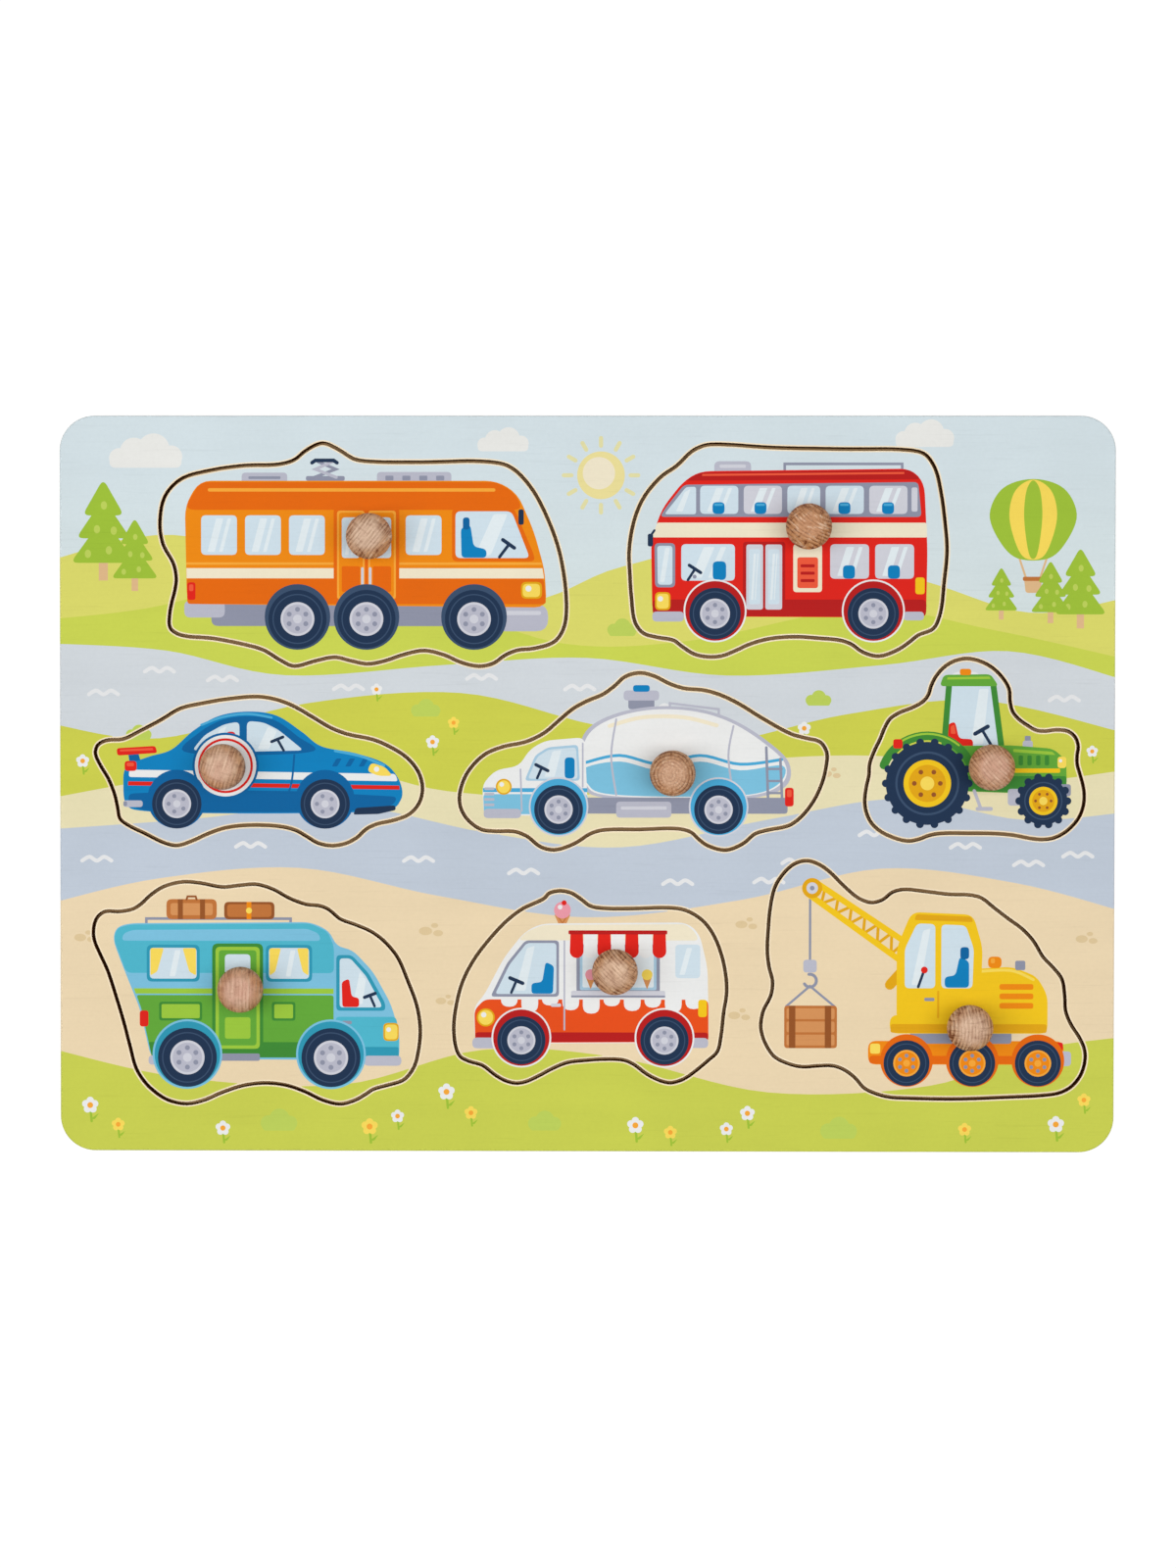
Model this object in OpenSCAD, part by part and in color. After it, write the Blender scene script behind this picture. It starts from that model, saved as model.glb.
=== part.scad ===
// Wooden peg puzzle: a printed board with eight contour recesses, and a vehicle piece
// with a turned knob for each recess. The puzzle lies flat: +X runs to the right,
// +Y to the top edge of the picture, and the origin is under the middle of the board.

/* [Board] */
// Width of the board, left to right
board_w = 301; // [250:1:360]
// Depth of the board, lower edge to upper edge of the picture
board_d = 210; // [176:1:250]
// Radius of the board's four corners
corner_r = 10; // [6:0.5:16]
// Thickness of the plain backing board
backing_t = 3; // [2:0.1:5]
// Thickness of the printed front board and of the pieces sawn from it
front_t = 5; // [4:0.1:8]
// Rounding of the board's outer edges, above and below
edge_r = 0.5; // [0.3:0.1:1.5]

/* [Saw cut] */
// Mean width of the wood beside and between the pieces of the widest row
bridge_w = 9.25; // [7:0.25:12]
// Mean depth of the wood above, between and below the pieces of the deepest column
bridge_d = 7.375; // [6:0.125:10]
// Gap that the saw leaves between a piece and its recess
cut_gap = 1; // [0.8:0.05:1.5]

/* [Knobs] */
// Diameter of a knob's round head
knob_d = 13; // [11:0.25:15]
// Height of a knob above its piece
knob_h = 14; // [12.5:0.25:17]
// Diameter of the flat on top of the head
knob_flat_d = 6.5; // [4:0.25:8]
// Diameter of the neck that stands on the piece
neck_d = 7.2; // [6:0.2:9]
// Diameter of the bore in a piece that a knob's tenon is glued into
bore_d = 5; // [4:0.1:5.6]
// Gap all round between the tenon and its bore
tenon_gap = 0.05; // [0.02:0.01:0.15]
// Depth of the open bore that is left under the tenon
tenon_short = 0.5; // [0.2:0.1:1.5]

/* [Tram piece] */
// Width of the tram piece, to the middle of the saw cut
tram_w = 116; // [113:0.5:119]
// Depth of the tram piece
tram_d = 63.5; // [62:0.5:66]

/* [Bus piece] */
// Width of the bus piece, to the middle of the saw cut
bus_w = 90.5; // [88:0.5:94]
// Depth of the bus piece
bus_d = 60.5; // [58:0.5:62]

/* [Racing car piece] */
// Width of the racing car piece, to the middle of the saw cut
racing_car_w = 93.5; // [90:0.5:96]
// Depth of the racing car piece
racing_car_d = 42.5; // [41:0.5:45]

/* [Milk tanker piece] */
// Width of the milk tanker piece, to the middle of the saw cut
milk_tanker_w = 105; // [102:0.5:107]
// Depth of the milk tanker piece
milk_tanker_d = 50.5; // [49:0.5:52]

/* [Tractor piece] */
// Width of the tractor piece, to the middle of the saw cut
tractor_w = 62.5; // [60:0.5:65]
// Depth of the tractor piece
tractor_d = 52; // [50:0.5:55]

/* [Camper piece] */
// Width of the camper piece, to the middle of the saw cut
camper_w = 93.5; // [90:0.5:96]
// Depth of the camper piece
camper_d = 63.5; // [61:0.5:66]

/* [Ice cream van piece] */
// Width of the ice cream van piece, to the middle of the saw cut
ice_cream_van_w = 78; // [75:0.5:80]
// Depth of the ice cream van piece
ice_cream_van_d = 55; // [53:0.5:57]

/* [Crane piece] */
// Width of the crane piece, to the middle of the saw cut
crane_w = 92.5; // [90:0.5:95]
// Depth of the crane piece
crane_d = 68; // [65:0.5:70]

/* [Hidden] */

$fn = 64;

// How far each cutting shape runs past the face that it cuts
overrun = 1;
// Steps of the smooth curve from one outline point to the next
outline_steps = 3;

// Bridges of wood that a row or a column has: one more than its three pieces
bridges = 4;

// The widest row and the deepest column of pieces, with the wood that goes with them
widest_row = bridges * bridge_w + max(
    tram_w + bus_w,
    racing_car_w + milk_tanker_w + tractor_w,
    camper_w + ice_cream_van_w + crane_w
);
deepest_column = bridges * bridge_d + max(
    tram_d + racing_car_d + camper_d,
    tram_d + milk_tanker_d + ice_cream_van_d,
    bus_d + tractor_d + crane_d
);
// The whole picture is stretched to the board, so that its rows and columns fill it
fit = [board_w / widest_row, board_d / deepest_column];

front_z = backing_t;
top_z = backing_t + front_t;
knob_r = knob_d / 2;
// Height of the middle of the round head above the piece, from the size of its flat
head_z = knob_h - sqrt(knob_r * knob_r - knob_flat_d * knob_flat_d / 4);
tenon_d = bore_d - 2 * tenon_gap;
tenon_len = front_t - tenon_short;

wood = [0.87, 0.74, 0.55];
beech = [0.80, 0.62, 0.44];
printed = [0.80, 0.87, 0.80];

// Middle of each piece as shares of the board's width and depth from its middle, and
// the knob and the outline as shares of the piece's width and depth from its lower left
// corner. An outline runs clockwise from its left side, along the middle of the saw cut.
tram_place_share = [-0.212, 0.3113];
tram_knob_share = [0.52, 0.575];
tram_outline_shares = [
    [0.000, 0.640], [0.012, 0.760], [0.052, 0.839], [0.121, 0.877], [0.210, 0.900],
    [0.290, 0.905], [0.330, 0.925], [0.360, 0.968], [0.400, 1.000], [0.441, 0.970],
    [0.476, 0.931], [0.510, 0.919], [0.650, 0.915], [0.800, 0.918], [0.860, 0.895],
    [0.910, 0.808], [0.953, 0.665], [0.985, 0.495], [1.000, 0.280], [0.993, 0.170],
    [0.970, 0.110], [0.920, 0.080], [0.880, 0.072], [0.850, 0.050], [0.820, 0.013],
    [0.785, 0.000], [0.740, 0.018], [0.700, 0.050], [0.650, 0.070], [0.600, 0.052],
    [0.550, 0.022], [0.510, 0.010], [0.470, 0.024], [0.430, 0.040], [0.380, 0.022],
    [0.330, 0.000], [0.295, 0.028], [0.255, 0.072], [0.200, 0.100], [0.130, 0.124],
    [0.050, 0.140], [0.025, 0.172], [0.025, 0.250], [0.040, 0.380], [0.033, 0.460],
    [0.008, 0.545]
];

bus_place_share = [0.1903, 0.317];
bus_knob_share = [0.56, 0.605];
bus_outline_shares = [
    [0.000, 0.500], [0.015, 0.638], [0.046, 0.750], [0.100, 0.847], [0.150, 0.900],
    [0.198, 0.968], [0.240, 0.996], [0.290, 1.000], [0.450, 0.985], [0.680, 0.978],
    [0.880, 0.973], [0.930, 0.953], [0.962, 0.886], [0.980, 0.780], [0.993, 0.640],
    [1.000, 0.500], [0.991, 0.350], [0.980, 0.210], [0.958, 0.135], [0.910, 0.103],
    [0.880, 0.068], [0.843, 0.032], [0.785, 0.004], [0.735, 0.024], [0.700, 0.060],
    [0.666, 0.078], [0.600, 0.088], [0.520, 0.095], [0.440, 0.085], [0.380, 0.060],
    [0.336, 0.030], [0.295, 0.006], [0.255, 0.000], [0.208, 0.012], [0.168, 0.048],
    [0.140, 0.078], [0.090, 0.092], [0.045, 0.112], [0.019, 0.163], [0.008, 0.270],
    [0.002, 0.400]
];

racing_car_place_share = [-0.311, 0.0173];
racing_car_knob_share = [0.40, 0.53];
racing_car_outline_shares = [
    [0.000, 0.620], [0.008, 0.675], [0.035, 0.706], [0.085, 0.715], [0.138, 0.771],
    [0.200, 0.843], [0.260, 0.920], [0.331, 0.957], [0.410, 0.986], [0.500, 1.000],
    [0.560, 0.977], [0.610, 0.933], [0.665, 0.863], [0.720, 0.792], [0.770, 0.750],
    [0.850, 0.712], [0.900, 0.665], [0.952, 0.592], [0.987, 0.497], [1.000, 0.390],
    [0.990, 0.288], [0.960, 0.213], [0.910, 0.170], [0.860, 0.145], [0.828, 0.111],
    [0.800, 0.055], [0.765, 0.015], [0.722, 0.000], [0.680, 0.018], [0.645, 0.063],
    [0.610, 0.105], [0.560, 0.130], [0.470, 0.137], [0.400, 0.120], [0.345, 0.080],
    [0.295, 0.030], [0.250, 0.000], [0.210, 0.018], [0.150, 0.082], [0.100, 0.136],
    [0.075, 0.180], [0.068, 0.250], [0.059, 0.340], [0.040, 0.447], [0.015, 0.540]
];

milk_tanker_place_share = [0.0537, 0.031];
milk_tanker_knob_share = [0.578, 0.435];
milk_tanker_outline_shares = [
    [0.000, 0.290], [0.009, 0.380], [0.030, 0.460], [0.070, 0.540], [0.120, 0.583],
    [0.180, 0.610], [0.230, 0.660], [0.270, 0.730], [0.310, 0.799], [0.350, 0.844],
    [0.390, 0.879], [0.422, 0.927], [0.450, 0.978], [0.490, 1.000], [0.530, 0.981],
    [0.572, 0.938], [0.610, 0.913], [0.665, 0.902], [0.710, 0.875], [0.760, 0.825],
    [0.820, 0.748], [0.900, 0.657], [0.940, 0.633], [0.980, 0.610], [0.998, 0.550],
    [0.996, 0.470], [0.985, 0.378], [0.961, 0.273], [0.927, 0.185], [0.895, 0.139],
    [0.835, 0.112], [0.803, 0.091], [0.772, 0.038], [0.725, 0.000], [0.675, 0.025],
    [0.650, 0.062], [0.630, 0.100], [0.595, 0.120], [0.490, 0.116], [0.390, 0.112],
    [0.355, 0.090], [0.315, 0.038], [0.260, 0.000], [0.220, 0.018], [0.185, 0.075],
    [0.150, 0.103], [0.100, 0.105], [0.060, 0.115], [0.025, 0.165], [0.006, 0.225]
];

tractor_place_share = [0.3672, 0.0472];
tractor_knob_share = [0.563, 0.405];
tractor_outline_shares = [
    [0.000, 0.220], [0.008, 0.300], [0.019, 0.360], [0.022, 0.420], [0.044, 0.495],
    [0.070, 0.560], [0.090, 0.620], [0.115, 0.670], [0.160, 0.705], [0.215, 0.731],
    [0.265, 0.765], [0.290, 0.804], [0.300, 0.845], [0.320, 0.896], [0.355, 0.947],
    [0.400, 0.983], [0.460, 1.000], [0.520, 0.987], [0.580, 0.950], [0.630, 0.890],
    [0.657, 0.830], [0.661, 0.767], [0.673, 0.710], [0.700, 0.670], [0.740, 0.635],
    [0.780, 0.608], [0.820, 0.603], [0.870, 0.610], [0.925, 0.602], [0.958, 0.570],
    [0.972, 0.520], [0.967, 0.470], [0.968, 0.420], [0.982, 0.360], [0.996, 0.295],
    [1.000, 0.240], [0.992, 0.175], [0.968, 0.115], [0.920, 0.055], [0.865, 0.019],
    [0.810, 0.009], [0.750, 0.016], [0.680, 0.032], [0.600, 0.041], [0.480, 0.043],
    [0.350, 0.042], [0.295, 0.031], [0.250, 0.011], [0.200, 0.000], [0.140, 0.015],
    [0.075, 0.051], [0.030, 0.100], [0.007, 0.160]
];

camper_place_share = [-0.3131, -0.2846];
camper_knob_share = [0.46, 0.525];
camper_outline_shares = [
    [0.000, 0.780], [0.010, 0.835], [0.035, 0.865], [0.080, 0.866], [0.120, 0.877],
    [0.145, 0.899], [0.175, 0.940], [0.215, 0.978], [0.275, 1.000], [0.330, 0.994],
    [0.395, 0.977], [0.450, 0.985], [0.500, 0.989], [0.550, 0.967], [0.600, 0.927],
    [0.650, 0.900], [0.695, 0.892], [0.720, 0.876], [0.755, 0.834], [0.800, 0.809],
    [0.850, 0.777], [0.890, 0.733], [0.930, 0.662], [0.961, 0.558], [0.990, 0.440],
    [1.000, 0.330], [0.993, 0.230], [0.980, 0.165], [0.950, 0.110], [0.900, 0.085],
    [0.856, 0.066], [0.832, 0.043], [0.800, 0.017], [0.755, 0.000], [0.700, 0.018],
    [0.650, 0.053], [0.595, 0.082], [0.530, 0.094], [0.460, 0.083], [0.390, 0.049],
    [0.340, 0.017], [0.285, 0.000], [0.230, 0.015], [0.190, 0.050], [0.156, 0.098],
    [0.130, 0.160], [0.113, 0.250], [0.093, 0.364], [0.069, 0.483], [0.043, 0.600],
    [0.017, 0.684], [0.003, 0.735]
];

ice_cream_van_place_share = [0.0036, -0.276];
ice_cream_van_knob_share = [0.59, 0.59];
ice_cream_van_outline_shares = [
    [0.000, 0.290], [0.010, 0.410], [0.033, 0.530], [0.073, 0.640], [0.125, 0.739],
    [0.190, 0.839], [0.250, 0.905], [0.300, 0.939], [0.330, 0.960], [0.350, 0.988],
    [0.390, 1.000], [0.430, 0.989], [0.465, 0.958], [0.500, 0.922], [0.550, 0.910],
    [0.660, 0.909], [0.790, 0.913], [0.850, 0.899], [0.910, 0.848], [0.950, 0.774],
    [0.980, 0.669], [0.996, 0.560], [0.999, 0.470], [0.988, 0.365], [0.978, 0.240],
    [0.965, 0.165], [0.930, 0.118], [0.890, 0.070], [0.845, 0.025], [0.800, 0.004],
    [0.765, 0.010], [0.710, 0.046], [0.660, 0.098], [0.625, 0.120], [0.570, 0.126],
    [0.480, 0.119], [0.415, 0.107], [0.360, 0.075], [0.300, 0.030], [0.260, 0.006],
    [0.225, 0.000], [0.185, 0.015], [0.150, 0.044], [0.105, 0.092], [0.055, 0.114],
    [0.024, 0.138], [0.008, 0.185]
];

crane_place_share = [0.319, -0.2655];
crane_knob_share = [0.635, 0.31];
crane_outline_shares = [
    [0.000, 0.310], [0.008, 0.370], [0.031, 0.434], [0.036, 0.494], [0.026, 0.550],
    [0.020, 0.615], [0.022, 0.700], [0.030, 0.814], [0.045, 0.895], [0.075, 0.955],
    [0.105, 0.988], [0.140, 1.000], [0.175, 0.987], [0.210, 0.955], [0.255, 0.895],
    [0.300, 0.844], [0.340, 0.825], [0.375, 0.837], [0.405, 0.868], [0.440, 0.880],
    [0.500, 0.873], [0.580, 0.860], [0.645, 0.857], [0.680, 0.844], [0.715, 0.807],
    [0.760, 0.760], [0.805, 0.715], [0.840, 0.664], [0.870, 0.597], [0.900, 0.554],
    [0.928, 0.504], [0.937, 0.430], [0.940, 0.370], [0.957, 0.313], [0.983, 0.258],
    [0.998, 0.210], [1.000, 0.165], [0.988, 0.105], [0.960, 0.055], [0.925, 0.028],
    [0.880, 0.017], [0.760, 0.008], [0.600, 0.000], [0.460, 0.003], [0.400, 0.007],
    [0.360, 0.020], [0.320, 0.045], [0.291, 0.088], [0.260, 0.120], [0.225, 0.138],
    [0.175, 0.138], [0.130, 0.134], [0.090, 0.145], [0.043, 0.176], [0.017, 0.225],
    [0.004, 0.270]
];

// One piece: its middle on the board, its size, its knob's place and its saw line
function piece_of(place_share, size, knob_share, outline_shares) = let (
    middle = [place_share.x * board_w, place_share.y * board_d],
    fitted = [size.x * fit.x, size.y * fit.y]
) [
    on_piece(knob_share, middle, fitted),
    smooth_loop([for (share = outline_shares) on_piece(share, middle, fitted)], outline_steps)
];

// Place on the board of a point given as shares of a piece from its lower left corner
function on_piece(share, middle, size) =
    middle + [(share.x - 1 / 2) * size.x, (share.y - 1 / 2) * size.y];

// Point at the share t of the way from b to c, on a smooth curve through a, b, c and d.
// Each span counts by the root of its length, so that short and long ones join evenly.
function curve_point(a, b, c, d, t) = let (
    ab = sqrt(norm(b - a)), bc = sqrt(norm(c - b)), cd = sqrt(norm(d - c)),
    leaving = c - b + bc * ((b - a) / ab - (c - a) / (ab + bc)),
    arriving = c - b + bc * ((d - c) / cd - (d - b) / (bc + cd))
) b + leaving * t + (3 * (c - b) - 2 * leaving - arriving) * t * t
    + (leaving + arriving - 2 * (c - b)) * t * t * t;

// Closed smooth loop through the points, with the same number of steps between each two
function smooth_loop(points, steps) = let (count = len(points)) [
    for (i = [0:count - 1], s = [0:steps - 1])
        curve_point(points[(i + count - 1) % count], points[i],
            points[(i + 1) % count], points[(i + 2) % count], s / steps)
];

// Clockwise loop moved outwards, square to itself, or inwards by a negative distance
function grown(loop, distance) = let (count = len(loop)) [
    for (i = [0:count - 1]) let (
        along = loop[(i + 1) % count] - loop[(i + count - 1) % count]
    ) loop[i] + distance * [-along.y, along.x] / norm(along)
];

function knob_place(piece) = piece[0];
function saw_line(piece) = piece[1];

tram = piece_of(tram_place_share, [tram_w, tram_d], tram_knob_share, tram_outline_shares);
bus = piece_of(bus_place_share, [bus_w, bus_d], bus_knob_share, bus_outline_shares);
racing_car = piece_of(racing_car_place_share, [racing_car_w, racing_car_d],
    racing_car_knob_share, racing_car_outline_shares);
milk_tanker = piece_of(milk_tanker_place_share, [milk_tanker_w, milk_tanker_d],
    milk_tanker_knob_share, milk_tanker_outline_shares);
tractor = piece_of(tractor_place_share, [tractor_w, tractor_d],
    tractor_knob_share, tractor_outline_shares);
camper = piece_of(camper_place_share, [camper_w, camper_d],
    camper_knob_share, camper_outline_shares);
ice_cream_van = piece_of(ice_cream_van_place_share, [ice_cream_van_w, ice_cream_van_d],
    ice_cream_van_knob_share, ice_cream_van_outline_shares);
crane = piece_of(crane_place_share, [crane_w, crane_d], crane_knob_share, crane_outline_shares);

all_pieces = [tram, bus, racing_car, milk_tanker, tractor, camper, ice_cream_van, crane];

// Section through the outer edge, from the corner's axis out, with its upper edge round
module edge_section(thickness) {
    square([corner_r - edge_r, thickness]);
    square([corner_r, thickness - edge_r]);
    translate([corner_r - edge_r, thickness - edge_r])
        intersection() {
            circle(r = edge_r);
            square(edge_r);
        }
}

// Board blank lying on z = 0, with round corners and a round upper edge
module board_blank(thickness) {
    inner_w = board_w - 2 * corner_r;
    inner_d = board_d - 2 * corner_r;
    translate([-inner_w / 2, -inner_d / 2, 0])
        cube([inner_w, inner_d, thickness]);
    for (side = [-1, 1]) {
        translate([0, side * inner_d / 2, 0])
            rotate([0, 0, 90 * side])
                rotate([90, 0, 0])
                    linear_extrude(height = inner_w, center = true)
                        edge_section(thickness);
        translate([side * inner_w / 2, 0, 0])
            rotate([0, 0, 90 - 90 * side])
                rotate([90, 0, 0])
                    linear_extrude(height = inner_d, center = true)
                        edge_section(thickness);
    }
    for (corner = [[1, 1, 0], [-1, 1, 90], [-1, -1, 180], [1, -1, 270]])
        translate([corner[0] * inner_w / 2, corner[1] * inner_d / 2, 0])
            rotate([0, 0, corner[2]])
                rotate_extrude(angle = 90)
                    edge_section(thickness);
}

module backing_board() {
    color(wood)
        translate([0, 0, backing_t])
            mirror([0, 0, 1])
                board_blank(backing_t);
}

module front_board() {
    color(printed)
        translate([0, 0, front_z])
            difference() {
                board_blank(front_t);
                for (piece = all_pieces)
                    translate([0, 0, -overrun])
                        linear_extrude(height = front_t + 2 * overrun)
                            polygon(grown(saw_line(piece), cut_gap / 2));
            }
}

// Flat piece standing in its recess, with the bore for its knob
module piece_plate(piece) {
    translate([0, 0, front_z])
        difference() {
            linear_extrude(height = front_t)
                polygon(grown(saw_line(piece), -cut_gap / 2));
            translate([knob_place(piece).x, knob_place(piece).y, -overrun])
                cylinder(d = bore_d, h = front_t + 2 * overrun);
        }
}

// Turned knob: a tenon down in the piece, a neck on it, and a round head cut flat on top
module piece_knob(piece) {
    color(beech)
        translate([knob_place(piece).x, knob_place(piece).y, top_z])
            rotate_extrude() {
                translate([0, -tenon_len])
                    square([tenon_d / 2, tenon_len]);
                square([neck_d / 2, head_z]);
                intersection() {
                    translate([0, head_z])
                        circle(d = knob_d);
                    square([knob_r, knob_h]);
                }
            }
}

module tram_piece() { color([0.93, 0.51, 0.13]) piece_plate(tram); }
module bus_piece() { color([0.87, 0.16, 0.11]) piece_plate(bus); }
module racing_car_piece() { color([0.08, 0.48, 0.76]) piece_plate(racing_car); }
module milk_tanker_piece() { color([0.91, 0.92, 0.93]) piece_plate(milk_tanker); }
module tractor_piece() { color([0.55, 0.73, 0.20]) piece_plate(tractor); }
module camper_piece() { color([0.22, 0.69, 0.74]) piece_plate(camper); }
module ice_cream_van_piece() { color([0.89, 0.34, 0.16]) piece_plate(ice_cream_van); }
module crane_piece() { color([0.94, 0.77, 0.14]) piece_plate(crane); }

module tram_knob() { piece_knob(tram); }
module bus_knob() { piece_knob(bus); }
module racing_car_knob() { piece_knob(racing_car); }
module milk_tanker_knob() { piece_knob(milk_tanker); }
module tractor_knob() { piece_knob(tractor); }
module camper_knob() { piece_knob(camper); }
module ice_cream_van_knob() { piece_knob(ice_cream_van); }
module crane_knob() { piece_knob(crane); }

backing_board();
front_board();
tram_piece();
bus_piece();
racing_car_piece();
milk_tanker_piece();
tractor_piece();
camper_piece();
ice_cream_van_piece();
crane_piece();
tram_knob();
bus_knob();
racing_car_knob();
milk_tanker_knob();
tractor_knob();
camper_knob();
ice_cream_van_knob();
crane_knob();
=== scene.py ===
"""Looks of a wooden peg puzzle: a printed board and eight vehicle pieces, each with its own turned knob.

Meshes are drawn in millimetres from the middle of the board's underside and stored in metres. A plate's outline is
read off its solid, its picture is drawn with a pen as patches of ink, and the knobs are turned by geometry nodes.
"""
import logging
import math
from dataclasses import dataclass, field
from enum import Enum

import bpy
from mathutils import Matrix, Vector
from mathutils.geometry import delaunay_2d_cdt


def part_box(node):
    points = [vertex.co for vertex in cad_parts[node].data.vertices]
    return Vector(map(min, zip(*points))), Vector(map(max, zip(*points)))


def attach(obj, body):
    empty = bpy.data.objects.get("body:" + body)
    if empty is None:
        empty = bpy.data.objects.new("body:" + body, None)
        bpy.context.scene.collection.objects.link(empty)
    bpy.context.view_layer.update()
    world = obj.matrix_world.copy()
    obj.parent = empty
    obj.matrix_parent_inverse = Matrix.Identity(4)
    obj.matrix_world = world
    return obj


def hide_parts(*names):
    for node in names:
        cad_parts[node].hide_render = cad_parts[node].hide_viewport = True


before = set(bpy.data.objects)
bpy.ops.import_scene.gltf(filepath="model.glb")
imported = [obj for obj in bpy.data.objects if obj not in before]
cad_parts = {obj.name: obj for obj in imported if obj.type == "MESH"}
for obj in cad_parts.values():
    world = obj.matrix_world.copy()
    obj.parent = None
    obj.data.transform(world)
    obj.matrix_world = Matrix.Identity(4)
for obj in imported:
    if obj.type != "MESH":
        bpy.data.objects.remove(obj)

LOG = logging.getLogger("peg_puzzle")
MM = 0.001
INK_LAYER, WOOD_LAYER, TINT_LAYER, REACH_LAYER = "ink", "wood", "tint", "reach"

Point = tuple[float, float]
Point3 = tuple[float, float, float]
Colour = tuple[float, float, float, float]
Socket = bpy.types.NodeSocket
Outputs = bpy.types.NodeOutputs


def linear(code: str) -> Colour:
    """Turns six hexadecimal digits into the linear colour that the renderer uses, with an alpha of one."""
    shares = [int(code[i:i + 2], 16) / 255 for i in (0, 2, 4)]
    return *(share / 12.92 if share <= 0.04045 else ((share + 0.055) / 1.055) ** 2.4 for share in shares), 1.0


class Ink(Enum):
    """Printing inks, as the colour each one shows in daylight."""

    SKY = "d4e1e6"
    SKY_LOW = "d6e2e3"
    CLOUD = "e9e9e5"
    SUN = "ecdf9a"
    SUN_RAY = "e4dfa9"
    FAR_HILL = "dbd96b"
    NEAR_HILL = "cad553"
    MEADOW = "cdd04e"
    LAWN = "c9d052"
    WATER_PALE = "d2d8dd"
    WATER = "c0cad7"
    FOAM = "e6e7e8"
    SAND = "ecd7b2"
    SAND_PALE = "e8dfb6"
    SAND_DARK = "dfc79b"
    LEAF = "9fc13a"
    MOSS = "bdd15c"
    BARK = "e0b98a"
    NAVY = "203450"
    SLATE = "3a4f6b"
    STEEL = "b9bac8"
    TIN = "d0d1da"
    IRON = "8f93a6"
    WHITE = "ebeceb"
    CREAM = "f0e6cb"
    GLASS = "cfe0ea"
    GLINT = "e2ecf0"
    ICE = "a9cbe0"
    ORANGE = "ee8a10"
    RUST = "e5690b"
    PEACH = "f6a83a"
    RED = "e0241a"
    WINE = "b81d1c"
    CORAL = "ee5a3c"
    VERMILION = "e8501a"
    BLUE = "0a80bd"
    COBALT = "0a639f"
    AZURE = "49a9d6"
    SKY_BLUE = "7cc0dd"
    TEAL = "4fb6cc"
    PETROL = "2f98b4"
    GREEN = "63a83a"
    PINE = "3f8a36"
    LIME = "9cc83f"
    YELLOW = "f2c61c"
    AMBER = "e2a714"
    LEMON = "f8da5c"
    BROWN = "c0743a"
    UMBER = "965528"
    TAN = "d6935a"
    PINK = "eb9aa8"


@dataclass(frozen=True)
class Patch:
    """One closed patch of ink. With a second ink it fades to that along the line from start to end."""

    outline: tuple[Point, ...]
    ink: Ink
    fade_to: Ink | None = None
    start: Point = (0.0, 0.0)
    end: Point = (0.0, 1.0)

    def shade(self, place: Point) -> Colour:
        """Gives the ink's colour at a point of the board.

        Args:
            place: The point, in millimetres.

        Returns:
            The linear colour.
        """
        if self.fade_to is None:
            return linear(self.ink.value)
        dx, dy = self.end[0] - self.start[0], self.end[1] - self.start[1]
        share = ((place[0] - self.start[0]) * dx + (place[1] - self.start[1]) * dy) / (dx * dx + dy * dy)
        share = min(1.0, max(0.0, share))
        return tuple(a + (b - a) * share for a, b in zip(linear(self.ink.value), linear(self.fade_to.value)))


def arc(x: float, y: float, radius: float, first: float, last: float, steps: int = 12) -> list[Point]:
    """Gives points along an arc round x and y, between two angles in degrees from +X towards +Y."""
    turns = [math.radians(first + (last - first) * i / steps) for i in range(steps + 1)]
    return [(x + radius * math.cos(turn), y + radius * math.sin(turn)) for turn in turns]


def through(points: list[Point], closed: bool = False, steps: int = 6) -> list[Point]:
    """Gives a smooth line through the points.

    Args:
        points: Points that the line goes through.
        closed: Whether the last point joins the first.
        steps: Steps between each two points.

    Returns:
        The points of the line.
    """
    at = [points[-1], *points, *points[:2]] if closed else [points[0], *points, points[-1]]
    line = []
    for near in zip(at, at[1:], at[2:], at[3:]):
        for t in (step / steps for step in range(steps)):
            line.append(tuple(
                (2 * q + (r - p) * t + (2 * p - 5 * q + 4 * r - s) * t * t + (3 * q - 3 * r + s - p) * t ** 3) / 2
                for p, q, r, s in zip(*near)
            ))
    return line if closed else [*line, points[-1]]


def eased(corners: list[Point], rounding: float, steps: int = 4) -> list[Point]:
    """Rounds the corners of a closed outline.

    Args:
        corners: Corners of the outline.
        rounding: How far from each corner the rounding begins.
        steps: Steps along each round corner.

    Returns:
        The points of the rounded outline.
    """
    outline = []
    for before, corner, after in zip([corners[-1], *corners], corners, [*corners[1:], corners[0]]):
        ends = []
        for other in (before, after):
            share = min(rounding / math.dist(corner, other), 0.5)
            ends.append([c + (o - c) * share for c, o in zip(corner, other)])
        for t in (step / steps for step in range(steps + 1)):
            outline.append(tuple(
                (1 - t) ** 2 * p + 2 * t * (1 - t) * c + t * t * q for p, c, q in zip(ends[0], corner, ends[1])
            ))
    return outline


def pairs(places: tuple[float, ...]) -> list[Point]:
    """Gives points from a row of numbers, x and y in turn."""
    return list(zip(places[::2], places[1::2]))


def steps_round(radius: float) -> int:
    """Gives the number of steps that make a printed circle look round."""
    return 16 if radius < 0.95 else 28 if radius < 3.9 else 48


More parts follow.
